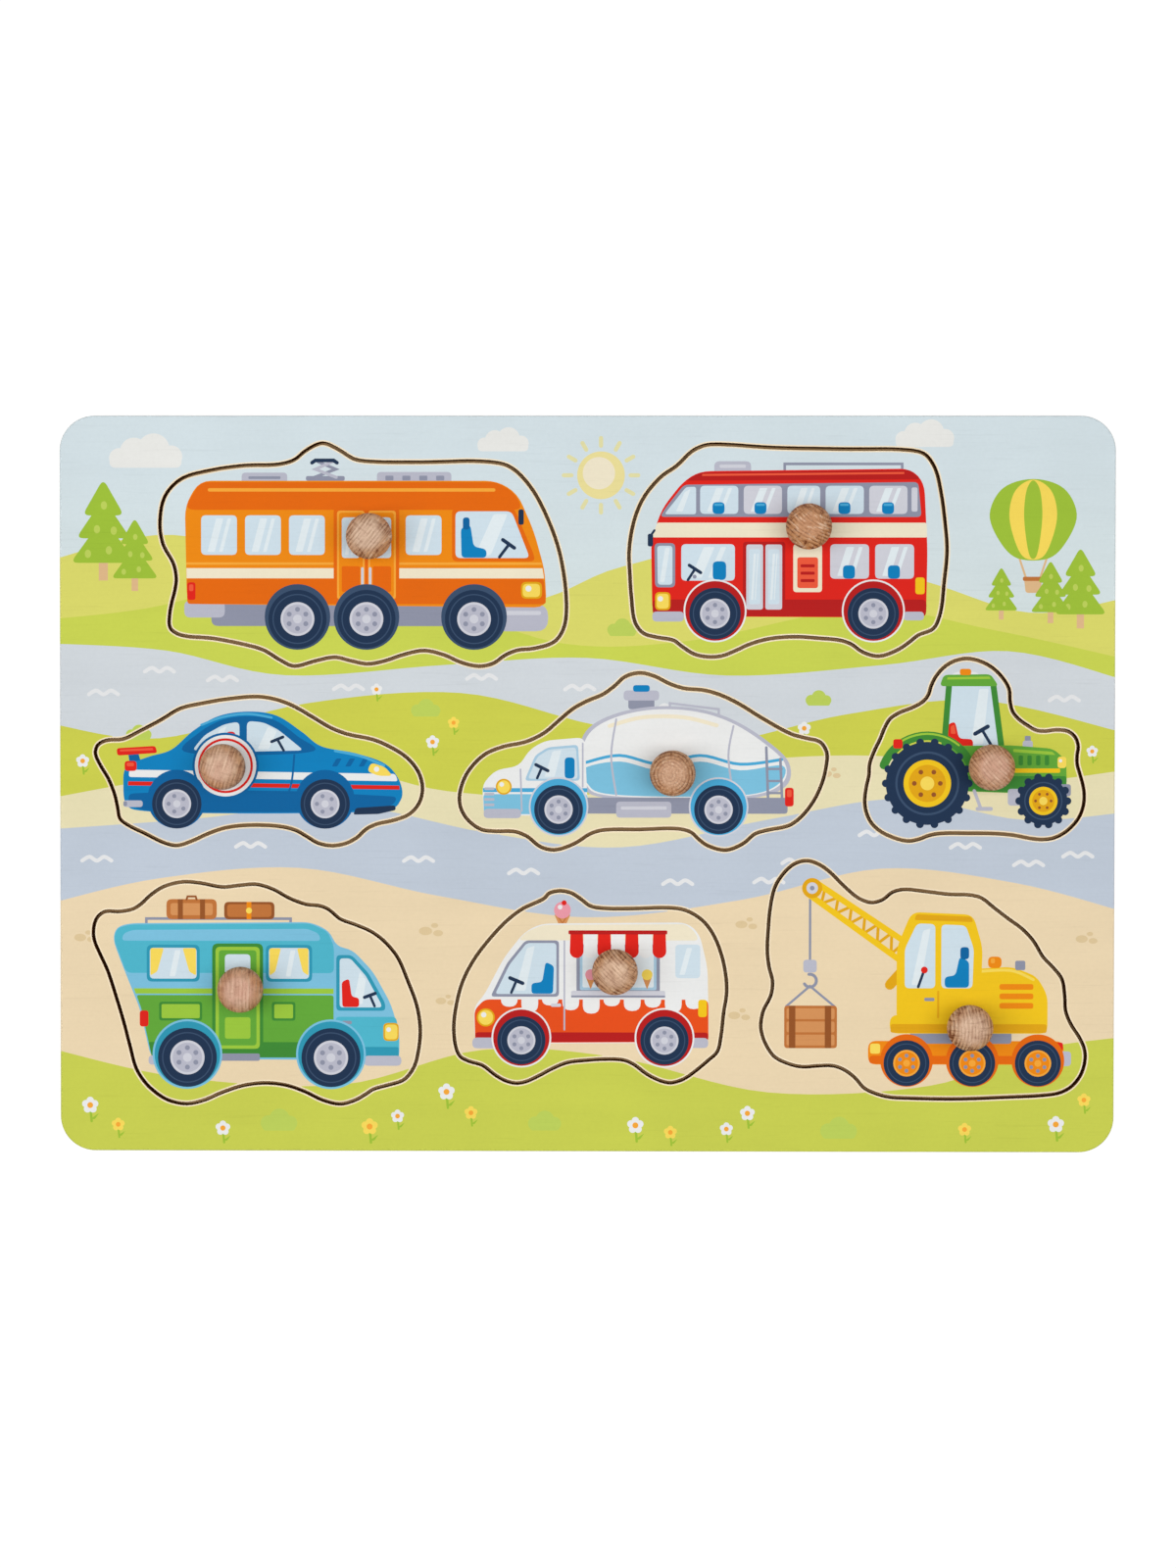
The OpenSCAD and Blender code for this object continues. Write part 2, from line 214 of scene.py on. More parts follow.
@dataclass
class Pen:
    """Draws patches in the millimetres of one picture, each over those before it.

    Where a method takes places, they are numbers in a row, x and y in turn.

    Attributes:
        x0: Where the picture's own origin lies on the board.
        y0: Where the picture's own origin lies on the board.
        scale: Size on the board of one millimetre of the picture.
        patches: What has been drawn.
    """

    x0: float = 0.0
    y0: float = 0.0
    scale: float = 1.0
    patches: list[Patch] = field(default_factory=list)

    def at(self, x: float, y: float, size: float = 1.0) -> "Pen":
        """Gives a pen that draws on the same board, from another origin and in another size."""
        return Pen(self.x0 + x * self.scale, self.y0 + y * self.scale, self.scale * size, self.patches)

    def placed(self, points: list[Point]) -> tuple[Point, ...]:
        """Moves points of the picture to their place on the board."""
        return tuple((self.x0 + x * self.scale, self.y0 + y * self.scale) for x, y in points)

    def fill(self, ink: Ink, outline: list[Point], rounding: float = 0.0) -> None:
        """Draws a closed outline, with its corners rounded if that is asked."""
        self.patches.append(Patch(self.placed(eased(outline, rounding) if rounding else outline), ink))

    def fade(self, ink: Ink, start: Point, end: Point) -> None:
        """Makes the patch drawn last fade to another ink from start to end."""
        last = self.patches.pop()
        self.patches.append(Patch(last.outline, last.ink, ink, *self.placed([start, end])))

    def shape(self, ink: Ink, rounding: float, *places: float) -> None:
        """Draws a closed shape with its corners at the places."""
        self.fill(ink, pairs(places), rounding)

    def blob(self, ink: Ink, *places: float) -> None:
        """Draws a smooth closed shape through the places."""
        self.fill(ink, through(pairs(places), closed=True))

    def box(self, ink: Ink, left: float, low: float, right: float, high: float, rounding: float = 0.0) -> None:
        """Draws an upright rectangle."""
        self.shape(ink, rounding, left, low, right, low, right, high, left, high)

    def disc(self, ink: Ink, x: float, y: float, radius: float, radius_y: float | None = None) -> None:
        """Draws a disc, or an upright ellipse if a second radius is given."""
        ring = arc(0, 0, radius, 0, 360, steps_round(radius * self.scale))[:-1]
        self.fill(ink, [(x + px, y + py * (radius_y or radius) / radius) for px, py in ring])

    def discs(self, ink: Ink, *rows: tuple[float, ...]) -> None:
        """Draws discs, each from a row of what a disc takes."""
        for row in rows:
            self.disc(ink, *row)

    def line(self, ink: Ink, width: float, *places: float) -> None:
        """Draws a line with round ends through the places."""
        self.stroke(ink, width, pairs(places))

    def curve(self, ink: Ink, width: float, *places: float) -> None:
        """Draws a line that bends smoothly through the places."""
        self.stroke(ink, width, through(pairs(places)))

    def stroke(self, ink: Ink, width: float, points: list[Point]) -> None:
        """Draws a line with round ends.

        Args:
            ink: Ink of the line.
            width: Width of the line.
            points: Points that it goes through.
        """
        half = width / 2
        headings = [math.atan2(b[1] - a[1], b[0] - a[0]) for a, b in zip(points, points[1:])]
        left, right = [], []
        for (x, y), before, after in zip(points[1:], headings, headings[1:]):
            turn = math.remainder(after - before, math.tau)
            side, reach = before + turn / 2 + math.pi / 2, half / math.cos(turn / 2)
            left.append((x + reach * math.cos(side), y + reach * math.sin(side)))
            right.append((x - reach * math.cos(side), y - reach * math.sin(side)))
        first, last = math.degrees(headings[0]), math.degrees(headings[-1])
        start = arc(*points[0], half, first + 90, first + 270, 5)
        end = arc(*points[-1], half, last - 90, last + 90, 5)
        self.fill(ink, [*start, *right, *end, *reversed(left)])

    def wheel(self, x: float, y: float, radius: float, rim: Ink = Ink.TIN, dish: Ink = Ink.STEEL,
              holes: int = 6) -> None:
        """Draws a wheel: the tyre with its groove, the rim, the dish and a ring of holes.

        Args:
            x: Middle of the wheel.
            y: Middle of the wheel.
            radius: Radius of the tyre.
            rim: Ink of the rim and the cap.
            dish: Ink of the dish.
            holes: Number of holes.
        """
        for ink, share in ((Ink.NAVY, 1), (Ink.SLATE, 0.86), (Ink.NAVY, 0.82), (rim, 0.58), (dish, 0.50)):
            self.disc(ink, x, y, radius * share)
        for px, py in arc(x, y, radius * 0.33, 180 / holes, 360 + 180 / holes, holes)[:-1]:
            self.disc(Ink.IRON, px, py, radius * 0.085)
        self.disc(rim, x, y, radius * 0.15)

    def field_wheel(self, x: float, y: float, radius: float, lugs: int) -> None:
        """Draws a tractor wheel: a tyre with lugs, a yellow rim and its bolts.

        Args:
            x: Middle of the wheel.
            y: Middle of the wheel.
            radius: Radius over the lugs.
            lugs: Number of lugs.
        """
        for px, py in arc(x, y, radius - 0.5, 0, 360, lugs)[:-1]:
            self.disc(Ink.NAVY, px, py, 1.15)
        self.disc(Ink.NAVY, x, y, radius - 0.5)
        for ink, share in ((Ink.SLATE, 0.74), (Ink.NAVY, 0.69), (Ink.YELLOW, 0.55), (Ink.AMBER, 0.43)):
            self.disc(ink, x, y, radius * share)
        for px, py in arc(x, y, radius * 0.30, 0, 300, 5):
            self.disc(Ink.UMBER, px, py, radius * 0.055)
        self.disc(Ink.LEMON, x, y, radius * 0.16)

    def pane(self, left: float, low: float, right: float, high: float, glass: Ink = Ink.GLASS) -> None:
        """Draws a window pane with two bands of light across it.

        Args:
            left: Its left side.
            low: Its lower side.
            right: Its right side.
            high: Its upper side.
            glass: Ink of the glass.
        """
        wide, margin = right - left, (high - low) * 0.08
        self.box(glass, left, low, right, high, min(1.4, wide / 5))
        for start, width in ((0.18, 0.20), (0.50, 0.10)):
            row = [left + wide * (start + share) for share in (0, 0.24, 0.24 + width, width)]
            self.fill(Ink.GLINT, list(zip(row, (low + margin, high - margin, high - margin, low + margin))), 0.3)


class Effect(Enum):
    """Effects that more than one finish uses."""

    GRAIN = "wood_grain"
    PLIES = "ply_layers"
    MOTTLE = "soft_mottle"


@dataclass
class Net:
    """Adds nodes to a tree and joins them, so that a finish reads as a list of steps.

    Attributes:
        tree: Tree that the nodes go into.
    """

    tree: bpy.types.NodeTree

    def add(self, kind: str, inputs: dict | None = None, **settings: object) -> bpy.types.Node:
        """Adds a node.

        Args:
            kind: Blender's name for the kind of node.
            inputs: Socket, by name or number, to what feeds it: a value or another node's output.
            settings: Settings of the node itself.

        Returns:
            The new node.
        """
        node = self.tree.nodes.new(kind)
        for name, value in settings.items():
            setattr(node, name, value)
        for socket, source in (inputs or {}).items():
            if isinstance(source, bpy.types.NodeSocket):
                self.tree.links.new(source, node.inputs[socket])
            else:
                node.inputs[socket].default_value = source
        return node

    def given(self, inputs: dict[str, str], outputs: dict[str, str]) -> Outputs:
        """Makes a group's named inputs and outputs.

        Args:
            inputs: Name of each input, and its kind.
            outputs: Name of each output, and its kind.

        Returns:
            What the inputs are given.
        """
        for way, sockets in (("INPUT", inputs), ("OUTPUT", outputs)):
            for name, kind in sockets.items():
                self.tree.interface.new_socket(name, in_out=way, socket_type=f"NodeSocket{kind}")
        return self.add("NodeGroupInput").outputs

    def out(self, kind: str, inputs: dict | None = None, **settings: object) -> Socket:
        """Adds a node and gives its first output."""
        return self.add(kind, inputs, **settings).outputs[0]

    def sum(self, operation: str, first: object, second: object = 0.0, clamp: bool = False) -> Socket:
        """Does one sum on two numbers, and keeps the result between 0 and 1 if that is asked."""
        return self.out("ShaderNodeMath", {0: first, 1: second}, operation=operation, use_clamp=clamp)

    def times(self, first: object, second: object) -> Socket:
        """Multiplies two numbers."""
        return self.sum("MULTIPLY", first, second)

    def plus(self, first: object, second: object) -> Socket:
        """Adds two numbers."""
        return self.sum("ADD", first, second)

    def vector(self, operation: str, first: object, second: object = (0, 0, 0)) -> Socket:
        """Does one sum on two vectors."""
        return self.out("ShaderNodeVectorMath", {0: first, 1: second}, operation=operation)

    def length(self, vector: object) -> Socket:
        """Gives a vector's length."""
        return self.add("ShaderNodeVectorMath", {0: vector}, operation="LENGTH").outputs["Value"]

    def scaled(self, vector: object, scale: object) -> Socket:
        """Scales a vector alike along all axes."""
        return self.out("ShaderNodeVectorMath", {0: vector, 3: scale}, operation="SCALE")

    def axes(self, vector: object) -> Outputs:
        """Takes a vector apart into X, Y and Z."""
        return self.add("ShaderNodeSeparateXYZ", {0: vector}).outputs

    def joined(self, x: object, y: object, z: object) -> Socket:
        """Puts a vector together."""
        return self.out("ShaderNodeCombineXYZ", {0: x, 1: y, 2: z})

    def grey(self, level: object) -> Socket:
        """Gives a grey of the level."""
        return self.out("ShaderNodeCombineColor", {0: level, 1: level, 2: level})

    def place(self) -> Socket:
        """Gives the place on the object, in metres."""
        return self.add("ShaderNodeTexCoord").outputs["Object"]

    def layer(self, name: str) -> Outputs:
        """Gives an attribute of the mesh."""
        return self.add("ShaderNodeAttribute", attribute_name=name).outputs

    def effect(self, effect: Effect, **inputs: object) -> Outputs:
        """Places the group of an effect with its own values."""
        return self.add("ShaderNodeGroup", inputs, node_tree=effect_group(effect)).outputs

    def between(self, value: object, low: float, high: float, to_low: object = 0.0, to_high: object = 1.0,
                smooth: bool = False) -> Socket:
        """Maps a number from one range to another and clamps it there; smooth eases it in and out."""
        kind, inputs = "SMOOTHSTEP" if smooth else "LINEAR", {0: value, 1: low, 2: high, 3: to_low, 4: to_high}
        return self.out("ShaderNodeMapRange", inputs, interpolation_type=kind)

    def mix(self, share: object, first: object, second: object, blend: str = "MIX") -> Socket:
        """Mixes two colours, each an output or six hexadecimal digits; the share is the second one's."""
        a, b = (linear(colour) if isinstance(colour, str) else colour for colour in (first, second))
        return self.add("ShaderNodeMix", {0: share, 6: a, 7: b}, data_type="RGBA", blend_type=blend).outputs[2]

    def noise(self, place: Socket, scale: float, detail: float = 3.0, rough: float = 0.5) -> Socket:
        """Gives a cloudy pattern, with so many finer patterns over it of so much strength."""
        return self.out("ShaderNodeTexNoise", {"Vector": place, "Scale": scale, "Detail": detail, "Roughness": rough})

    def stretched(self, place: Socket, x: float, y: float, z: float) -> Socket:
        """Scales a place along each axis."""
        return self.out("ShaderNodeMapping", {"Vector": place, "Scale": (x, y, z)})


def effect_group(effect: Effect) -> bpy.types.ShaderNodeTree:
    """Gives the node group of an effect, and builds it the first time.

    Args:
        effect: The effect.

    Returns:
        Its node group.
    """
    if effect.value not in bpy.data.node_groups:
        net = Net(bpy.data.node_groups.new(effect.value, "ShaderNodeTree"))
        {Effect.GRAIN: wire_grain, Effect.PLIES: wire_plies, Effect.MOTTLE: wire_mottle}[effect](net)
    return bpy.data.node_groups[effect.value]


def wire_grain(net: Net) -> None:
    """Wires wood grain that runs along X: growth rings as broad bands, and fibres with pores as fine streaks.

    Args:
        net: Net of the empty group.
    """
    given = net.given({"Place": "Vector", "Rings": "Float", "Fibres": "Float"},
                      {"Shade": "Float", "Streaks": "Float", "Relief": "Float"})
    bent = net.noise(net.stretched(given["Place"], 14, 30, 30), 1, 2)
    across = net.vector("ADD", given["Place"], net.times(bent, 0.012))
    bands = net.noise(net.scaled(net.stretched(across, 6, 150, 150), given["Rings"]), 1, 2)
    fine = net.scaled(net.stretched(given["Place"], 90, 2600, 2600), given["Fibres"])
    fibres = net.noise(fine, 1, 4, 0.65)
    pores = net.between(net.noise(fine, 0.62, 2, 0.8), 0.60, 0.72)
    shade = net.plus(net.times(bands, 0.62), net.times(fibres, 0.38))
    relief = net.sum("SUBTRACT", fibres, net.times(pores, 0.5))
    net.add("NodeGroupOutput", {"Shade": net.between(shade, 0.30, 0.70), "Streaks": pores, "Relief": relief})


def wire_plies(net: Net) -> None:
    """Wires the layers that show where plywood is cut across: every second ply shows its darker end grain.

    Args:
        net: Net of the empty group.
    """
    given = net.given({"Place": "Vector", "Ply": "Float"}, {"Layer": "Float", "Glue": "Float", "Rough": "Float"})
    place = given["Place"]
    wander = net.times(net.sum("SUBTRACT", net.noise(net.stretched(place, 60, 60, 0), 1, 2), 0.5), 0.00022)
    step = net.sum("DIVIDE", net.plus(net.axes(place)[2], wander), given["Ply"])
    turn = net.sum("PINGPONG", net.plus(step, 0.5), 1)
    layer = net.between(turn, 0.45, 0.55)
    glue = net.times(net.between(turn, 0.38, 0.48), net.between(turn, 0.62, 0.52))
    end_grain = net.noise(net.stretched(place, 2400, 2400, 3400), 1, 3, 0.7)
    long_grain = net.noise(net.stretched(place, 160, 160, 5200), 1, 3, 0.6)
    rough = net.mix(layer, net.grey(long_grain), net.grey(end_grain))
    net.add("NodeGroupOutput", {"Layer": layer, "Glue": glue, "Rough": net.out("ShaderNodeSeparateColor", {0: rough})})


def wire_mottle(net: Net) -> None:
    """Wires a faint unevenness, as of ink or lacquer on wood.

    Args:
        net: Net of the empty group.
    """
    given = net.given({"Place": "Vector", "Least": "Float", "Most": "Float"}, {"Value": "Float"})
    broad, small = net.noise(given["Place"], 38, 2), net.noise(given["Place"], 900, 3, 0.6)
    share = net.between(net.plus(net.times(broad, 0.6), net.times(small, 0.4)), 0.34, 0.66)
    net.add("NodeGroupOutput", {"Value": net.between(share, 0, 1, given["Least"], given["Most"])})


@dataclass(frozen=True)
class Finish:
    """What every finish has: its name and its own material, which is built once.

    Attributes:
        name: Name of the material.
    """

    name: str = "finish"

    def material(self) -> bpy.types.Material:
        """Gives the material, and builds it the first time.

        Returns:
            The finish's material.
        """
        if self.name not in bpy.data.materials:
            made = bpy.data.materials.new(self.name)
            made.use_nodes = True
            made.node_tree.nodes.clear()
            self.wire(Net(made.node_tree))
        return bpy.data.materials[self.name]

    def wire(self, net: Net) -> None:
        """Wires the material; each finish has its own way."""
        raise NotImplementedError

    def surface(self, net: Net, colour: Socket, roughness: Socket, relief: Socket, depth: float,
                shine: float = 0.35) -> None:
        """Wires the shader that ends every finish of the puzzle.

        Args:
            net: Net of the material.
            colour: Output that holds the colour.
            roughness: Output that holds the roughness.
            relief: Output that holds the relief.
            depth: How deep the relief is, in metres.
            shine: Strength of the reflection.
        """
        shader = net.out("ShaderNodeBsdfPrincipled", {
            "Base Color": colour, "Roughness": roughness, "Specular IOR Level": shine,
            "Normal": net.out("ShaderNodeBump", {"Height": relief, "Distance": depth, "Strength": 1}),
        })
        net.add("ShaderNodeOutputMaterial", {0: shader})


@dataclass(frozen=True)
class PrintFinish(Finish):
    """Matt ink printed on the plywood's face, rubbed through where the edge is eased.

    Attributes:
        face: Height of the printed face, in metres.
        bare: Colour of the wood where the ink ends.
    """

    name: str = "matt_print"
    face: float = 0.008
    bare: str = "fdedd1"

    def wire(self, net: Net) -> None:
        """Wires the print: the mesh's ink, toned by the grain, and bare wood where it ends.

        Args:
            net: Net of the material.
        """
        place, ink = net.place(), net.layer(INK_LAYER)
        grain = net.effect(Effect.GRAIN, Place=place, Rings=1, Fibres=0.8)
        mottle = net.effect(Effect.MOTTLE, Place=place, Least=0.965, Most=1.02)["Value"]
        shade = net.times(mottle, net.between(grain["Shade"], 0, 1, 1.012, 0.972))
        tone = net.times(shade, net.between(grain["Streaks"], 0, 1, 1, 0.955))
        toned = net.mix(1, ink["Color"], net.grey(tone), "MULTIPLY")
        frayed = net.times(net.sum("SUBTRACT", net.noise(place, 700), 0.5), 0.00016)
        height = net.plus(net.axes(place)[2], frayed)
        kept = net.between(height, self.face - 0.00040, self.face - 0.00024, smooth=True)
        printed = net.times(kept, net.between(ink["Alpha"], 0.3, 0.8))
        colour = net.mix(printed, net.mix(grain["Shade"], self.bare, "f6e1bd"), toned)
        self.surface(net, colour, net.between(mottle, 0.965, 1.02, 0.44, 0.52), grain["Relief"], 0.000012, 0.04)


@dataclass(frozen=True)
class SawnFinish(Finish):
    """Wall of a saw cut: plies that the blade has browned, with painted shade that darkens them towards the bottom of
    the cut.

    Attributes:
        top: Height where the wall begins, in metres.
        bottom: Height where it ends.
        ply: Thickness of one ply, in metres.
    """

    name: str = "sawn_wall"
    top: float = 0.008
    bottom: float = 0.003
    ply: float = 0.00125

    def wire(self, net: Net) -> None:
        """Wires the wall: plies, their glue, and painted shade that darkens the wall with depth.

        Args:
            net: Net of the material.
        """
        place = net.place()
        plies = net.effect(Effect.PLIES, Place=place, Ply=self.ply)
        wood = net.mix(plies["Layer"], "ab692d", "874f1c")
        streaked = net.mix(net.between(plies["Rough"], 0.35, 0.70), wood, "5c310c")
        glued = net.mix(net.times(plies["Glue"], 0.45), streaked, "432206")
        # Painted shade: the wall darkens towards the bottom of the cut, as shade falls in the narrow gap
        colour = net.mix(net.between(net.axes(place)[2], self.bottom, self.top, 0.52, 0.12), glued, "301602")
        self.surface(net, colour, net.between(plies["Rough"], 0.3, 0.7, 0.62, 0.78), plies["Rough"], 0.00004, 0.03)


@dataclass(frozen=True)
class PlywoodFinish(Finish):
    """Sanded plywood: long grain on the faces, its plies along the edge.

    Attributes:
        face_low: Height of the lower face, in metres.
        face_high: Height of the upper face.
        ply: Thickness of one ply, in metres.
        light: Colour of the pale wood.
        dark: Colour of the grain.
    """

    name: str = "plywood"
    face_low: float = 0.0
    face_high: float = 0.003
    ply: float = 0.001
    light: str = "dcc19a"
    dark: str = "c6a375"

    def wire(self, net: Net) -> None:
        """Wires the faces and the edge.

        Args:
            net: Net of the material.
        """
        place = net.place()
        height = net.axes(place)[2]
        grain = net.effect(Effect.GRAIN, Place=place, Rings=1, Fibres=1)
        plies = net.effect(Effect.PLIES, Place=place, Ply=self.ply)
        on_edge = net.times(net.between(height, self.face_low + 0.00004, self.face_low + 0.00018),
                            net.between(height, self.face_high - 0.00004, self.face_high - 0.00018))
        face = net.mix(net.times(grain["Streaks"], 0.35), net.mix(grain["Shade"], self.light, self.dark), "a07a4e")
        edge = net.mix(plies["Layer"], "dbc19b", "b8925f")
        rough_edge = net.mix(net.between(plies["Rough"], 0.4, 0.72, 0, 0.5), edge, "94703f")
        colour = net.mix(on_edge, face, net.mix(net.times(plies["Glue"], 0.4), rough_edge, "7d5c38"))
        relief = net.plus(net.times(grain["Relief"], net.sum("SUBTRACT", 1, on_edge)),
                          net.times(plies["Rough"], on_edge))
        self.surface(net, colour, net.between(grain["Shade"], 0, 1, 0.50, 0.60), relief, 0.00003)


@dataclass(frozen=True)
class BeechFinish(Finish):
    """Bare turned beech: growth rings crossed by rays on the end grain, dark strokes on the round flank.

    Attributes:
        pale: Colour of pale wood.
        warm: Colour of orange-brown wood.
        rosy: Colour of rosy wood.
        flank: Colour that the flank tends to: partly side grain, partly painted shade that darkens the rim.
        stroke: Colour of the strokes.
        glint: Colour of the fibres that catch the light.
    """

    name: str = "bare_beech"
    pale: str = "d8b99f"
    warm: str = "c4895a"
    rosy: str = "cf9882"
    flank: str = "d49258"
    stroke: str = "733c1e"
    glint: str = "f4d6b8"

    def wire(self, net: Net) -> None:
        """Wires the wood out of its growth rings, rays, fibres and pores.

        Args:
            net: Net of the material.
        """
        place, tint = net.layer(WOOD_LAYER)["Vector"], net.axes(net.layer(TINT_LAYER)["Vector"])
        flank = net.between(net.layer(REACH_LAYER)["Fac"], 0.0030, 0.0062, smooth=True)
        # Rings round the tree's middle, broken into strokes
        bent = net.times(net.noise(net.stretched(place, 120, 120, 30), 1, 2), 0.0010)
        shifted = net.vector("ADD", place, bent)
        at, radius = net.axes(shifted), net.length(net.stretched(shifted, 1, 1, 0))
        ring = net.sum("FRACT", net.times(radius, 1050))
        late_wood = net.times(net.between(ring, 0.35, 0.85, smooth=True), net.between(ring, 1, 0.90))
        broken = net.between(net.noise(net.stretched(place, 330, 330, 140), 1, 3, 0.6), 0.38, 0.58)
        # Rays run out from that middle, and fibres round it
        turn = net.sum("ARCTAN2", at[1], at[0])
        spread = net.joined(net.times(turn, 38), net.times(radius, 230), net.times(at[2], 90))
        rays = net.between(net.noise(spread, 1, 2, 0.7), 0.52, 0.66)
        along = net.joined(net.times(turn, 7), net.times(radius, 1350), net.times(at[2], 150))
        fibres = net.noise(along, 1, 3, 0.6)
        pores = net.between(net.noise(net.stretched(place, 2600, 2600, 240), 1, 2, 0.8), 0.56, 0.70)
        patchy = net.between(net.noise(net.stretched(place, 170, 170, 80), 1, 2), 0.40, 0.66)
        # The wood's own colour, then what lies over it
        base = net.mix(tint[0], self.pale, self.warm)
        flushed = net.mix(net.times(tint[2], net.between(patchy, 0, 1, 0.35, 0.95)), base, self.rosy)
        # The flank's tint is partly painted shade that darkens the knob's rim; its stronger strokes are side grain
        turned = net.mix(net.times(flank, net.between(patchy, 0, 1, 0.40, 0.80)), flushed, self.flank)
        dark = net.sum("MAXIMUM", net.times(late_wood, broken), net.between(fibres, 0.54, 0.70))
        lines = net.plus(net.times(dark, 0.90), net.times(rays, 0.50))
        weight = net.times(tint[1], net.between(flank, 0, 1, 0.60, 1.25))
        bright = net.times(net.between(fibres, 0.47, 0.32), net.between(tint[1], 0, 1, 0.2, 0.7))
        stroked = net.mix(net.sum("MULTIPLY", lines, weight, True), net.mix(bright, turned, self.glint), self.stroke)
        colour = net.mix(net.times(pores, 0.35), stroked, self.stroke)
        relief = net.sum("SUBTRACT", 1, net.plus(net.times(lines, 0.6), net.times(pores, 0.4)))
        self.surface(net, colour, net.between(lines, 0, 1, 0.52, 0.66), relief, 0.00003, 0.22)


@dataclass(frozen=True)
class FloorFinish(Finish):
    """White studio floor that shows white to the camera and keeps a faint shadow.

    Attributes:
        tone: How much light the floor gives back where the camera sees it.
        glow: How much it glows there.
        bounce: How much light it gives back to the puzzle.
    """

    name: str = "studio_floor"
    tone: float = 0.22
    glow: float = 0.86
    bounce: float = 0.72

    def wire(self, net: Net) -> None:
        """Wires one floor for the camera and one for the puzzle.

        Args:
            net: Net of the material.
        """
        rays = net.add("ShaderNodeLightPath").outputs
        direct = net.sum("MAXIMUM", rays["Is Camera Ray"], rays["Is Glossy Ray"])
        seen = net.sum("MAXIMUM", direct, rays["Is Transmission Ray"])
        shown, plain = (net.out("ShaderNodeBsdfDiffuse", {"Color": (tone, tone, tone, 1)})
                        for tone in (self.tone, self.bounce))
        glowing = net.out("ShaderNodeEmission", {"Color": (1, 1, 1, 1), "Strength": self.glow})
        both = net.out("ShaderNodeAddShader", {0: shown, 1: glowing})
        net.add("ShaderNodeOutputMaterial", {0: net.out("ShaderNodeMixShader", {0: seen, 1: plain, 2: both})})


@dataclass(frozen=True)
class Wall:
    """How a plate's edge or hole is eased from its upper to its lower face.

    Attributes:
        upper: Radius at the upper face, in millimetres.
        lower: Radius at the lower face.
        steps: Steps round each radius.
        worn: Width of the band on the upper face that the sanding has left without ink; none if zero.
    """

    upper: float
    lower: float
    steps: int = 3
    worn: float = 0.0

    @property
    def inset(self) -> float:
        """How far inside the outline the printed face ends."""
        return self.upper + self.worn

    def stations(self, low: float, high: float) -> list[tuple[float, float, float]]:
        """Gives the levels of the wall from the upper to the lower face.

        Args:
            low: Height of the lower face.
            high: Height of the upper face.

        Returns:
            For each level how far it lies inside the outline, its height, and the tilt of its normal from straight up.
        """
        levels = [(self.inset, high, 0.0)] if self.worn else []
        for step in range(self.steps + 1):
            tilt = math.pi / 2 * step / self.steps
            levels.append((self.upper * (1 - math.sin(tilt)), high - self.upper * (1 - math.cos(tilt)), tilt))
        for step in range(self.steps + 1):
            tilt = math.pi / 2 * (1 + step / self.steps)
            levels.append((self.lower * (1 - math.sin(tilt)), low + self.lower * (1 + math.cos(tilt)), tilt))
        return levels


class Slot(Enum):
    """Places of a plate's four materials."""

    PRINT = 0
    RIM = 1
    CUT = 2
    BACK = 3


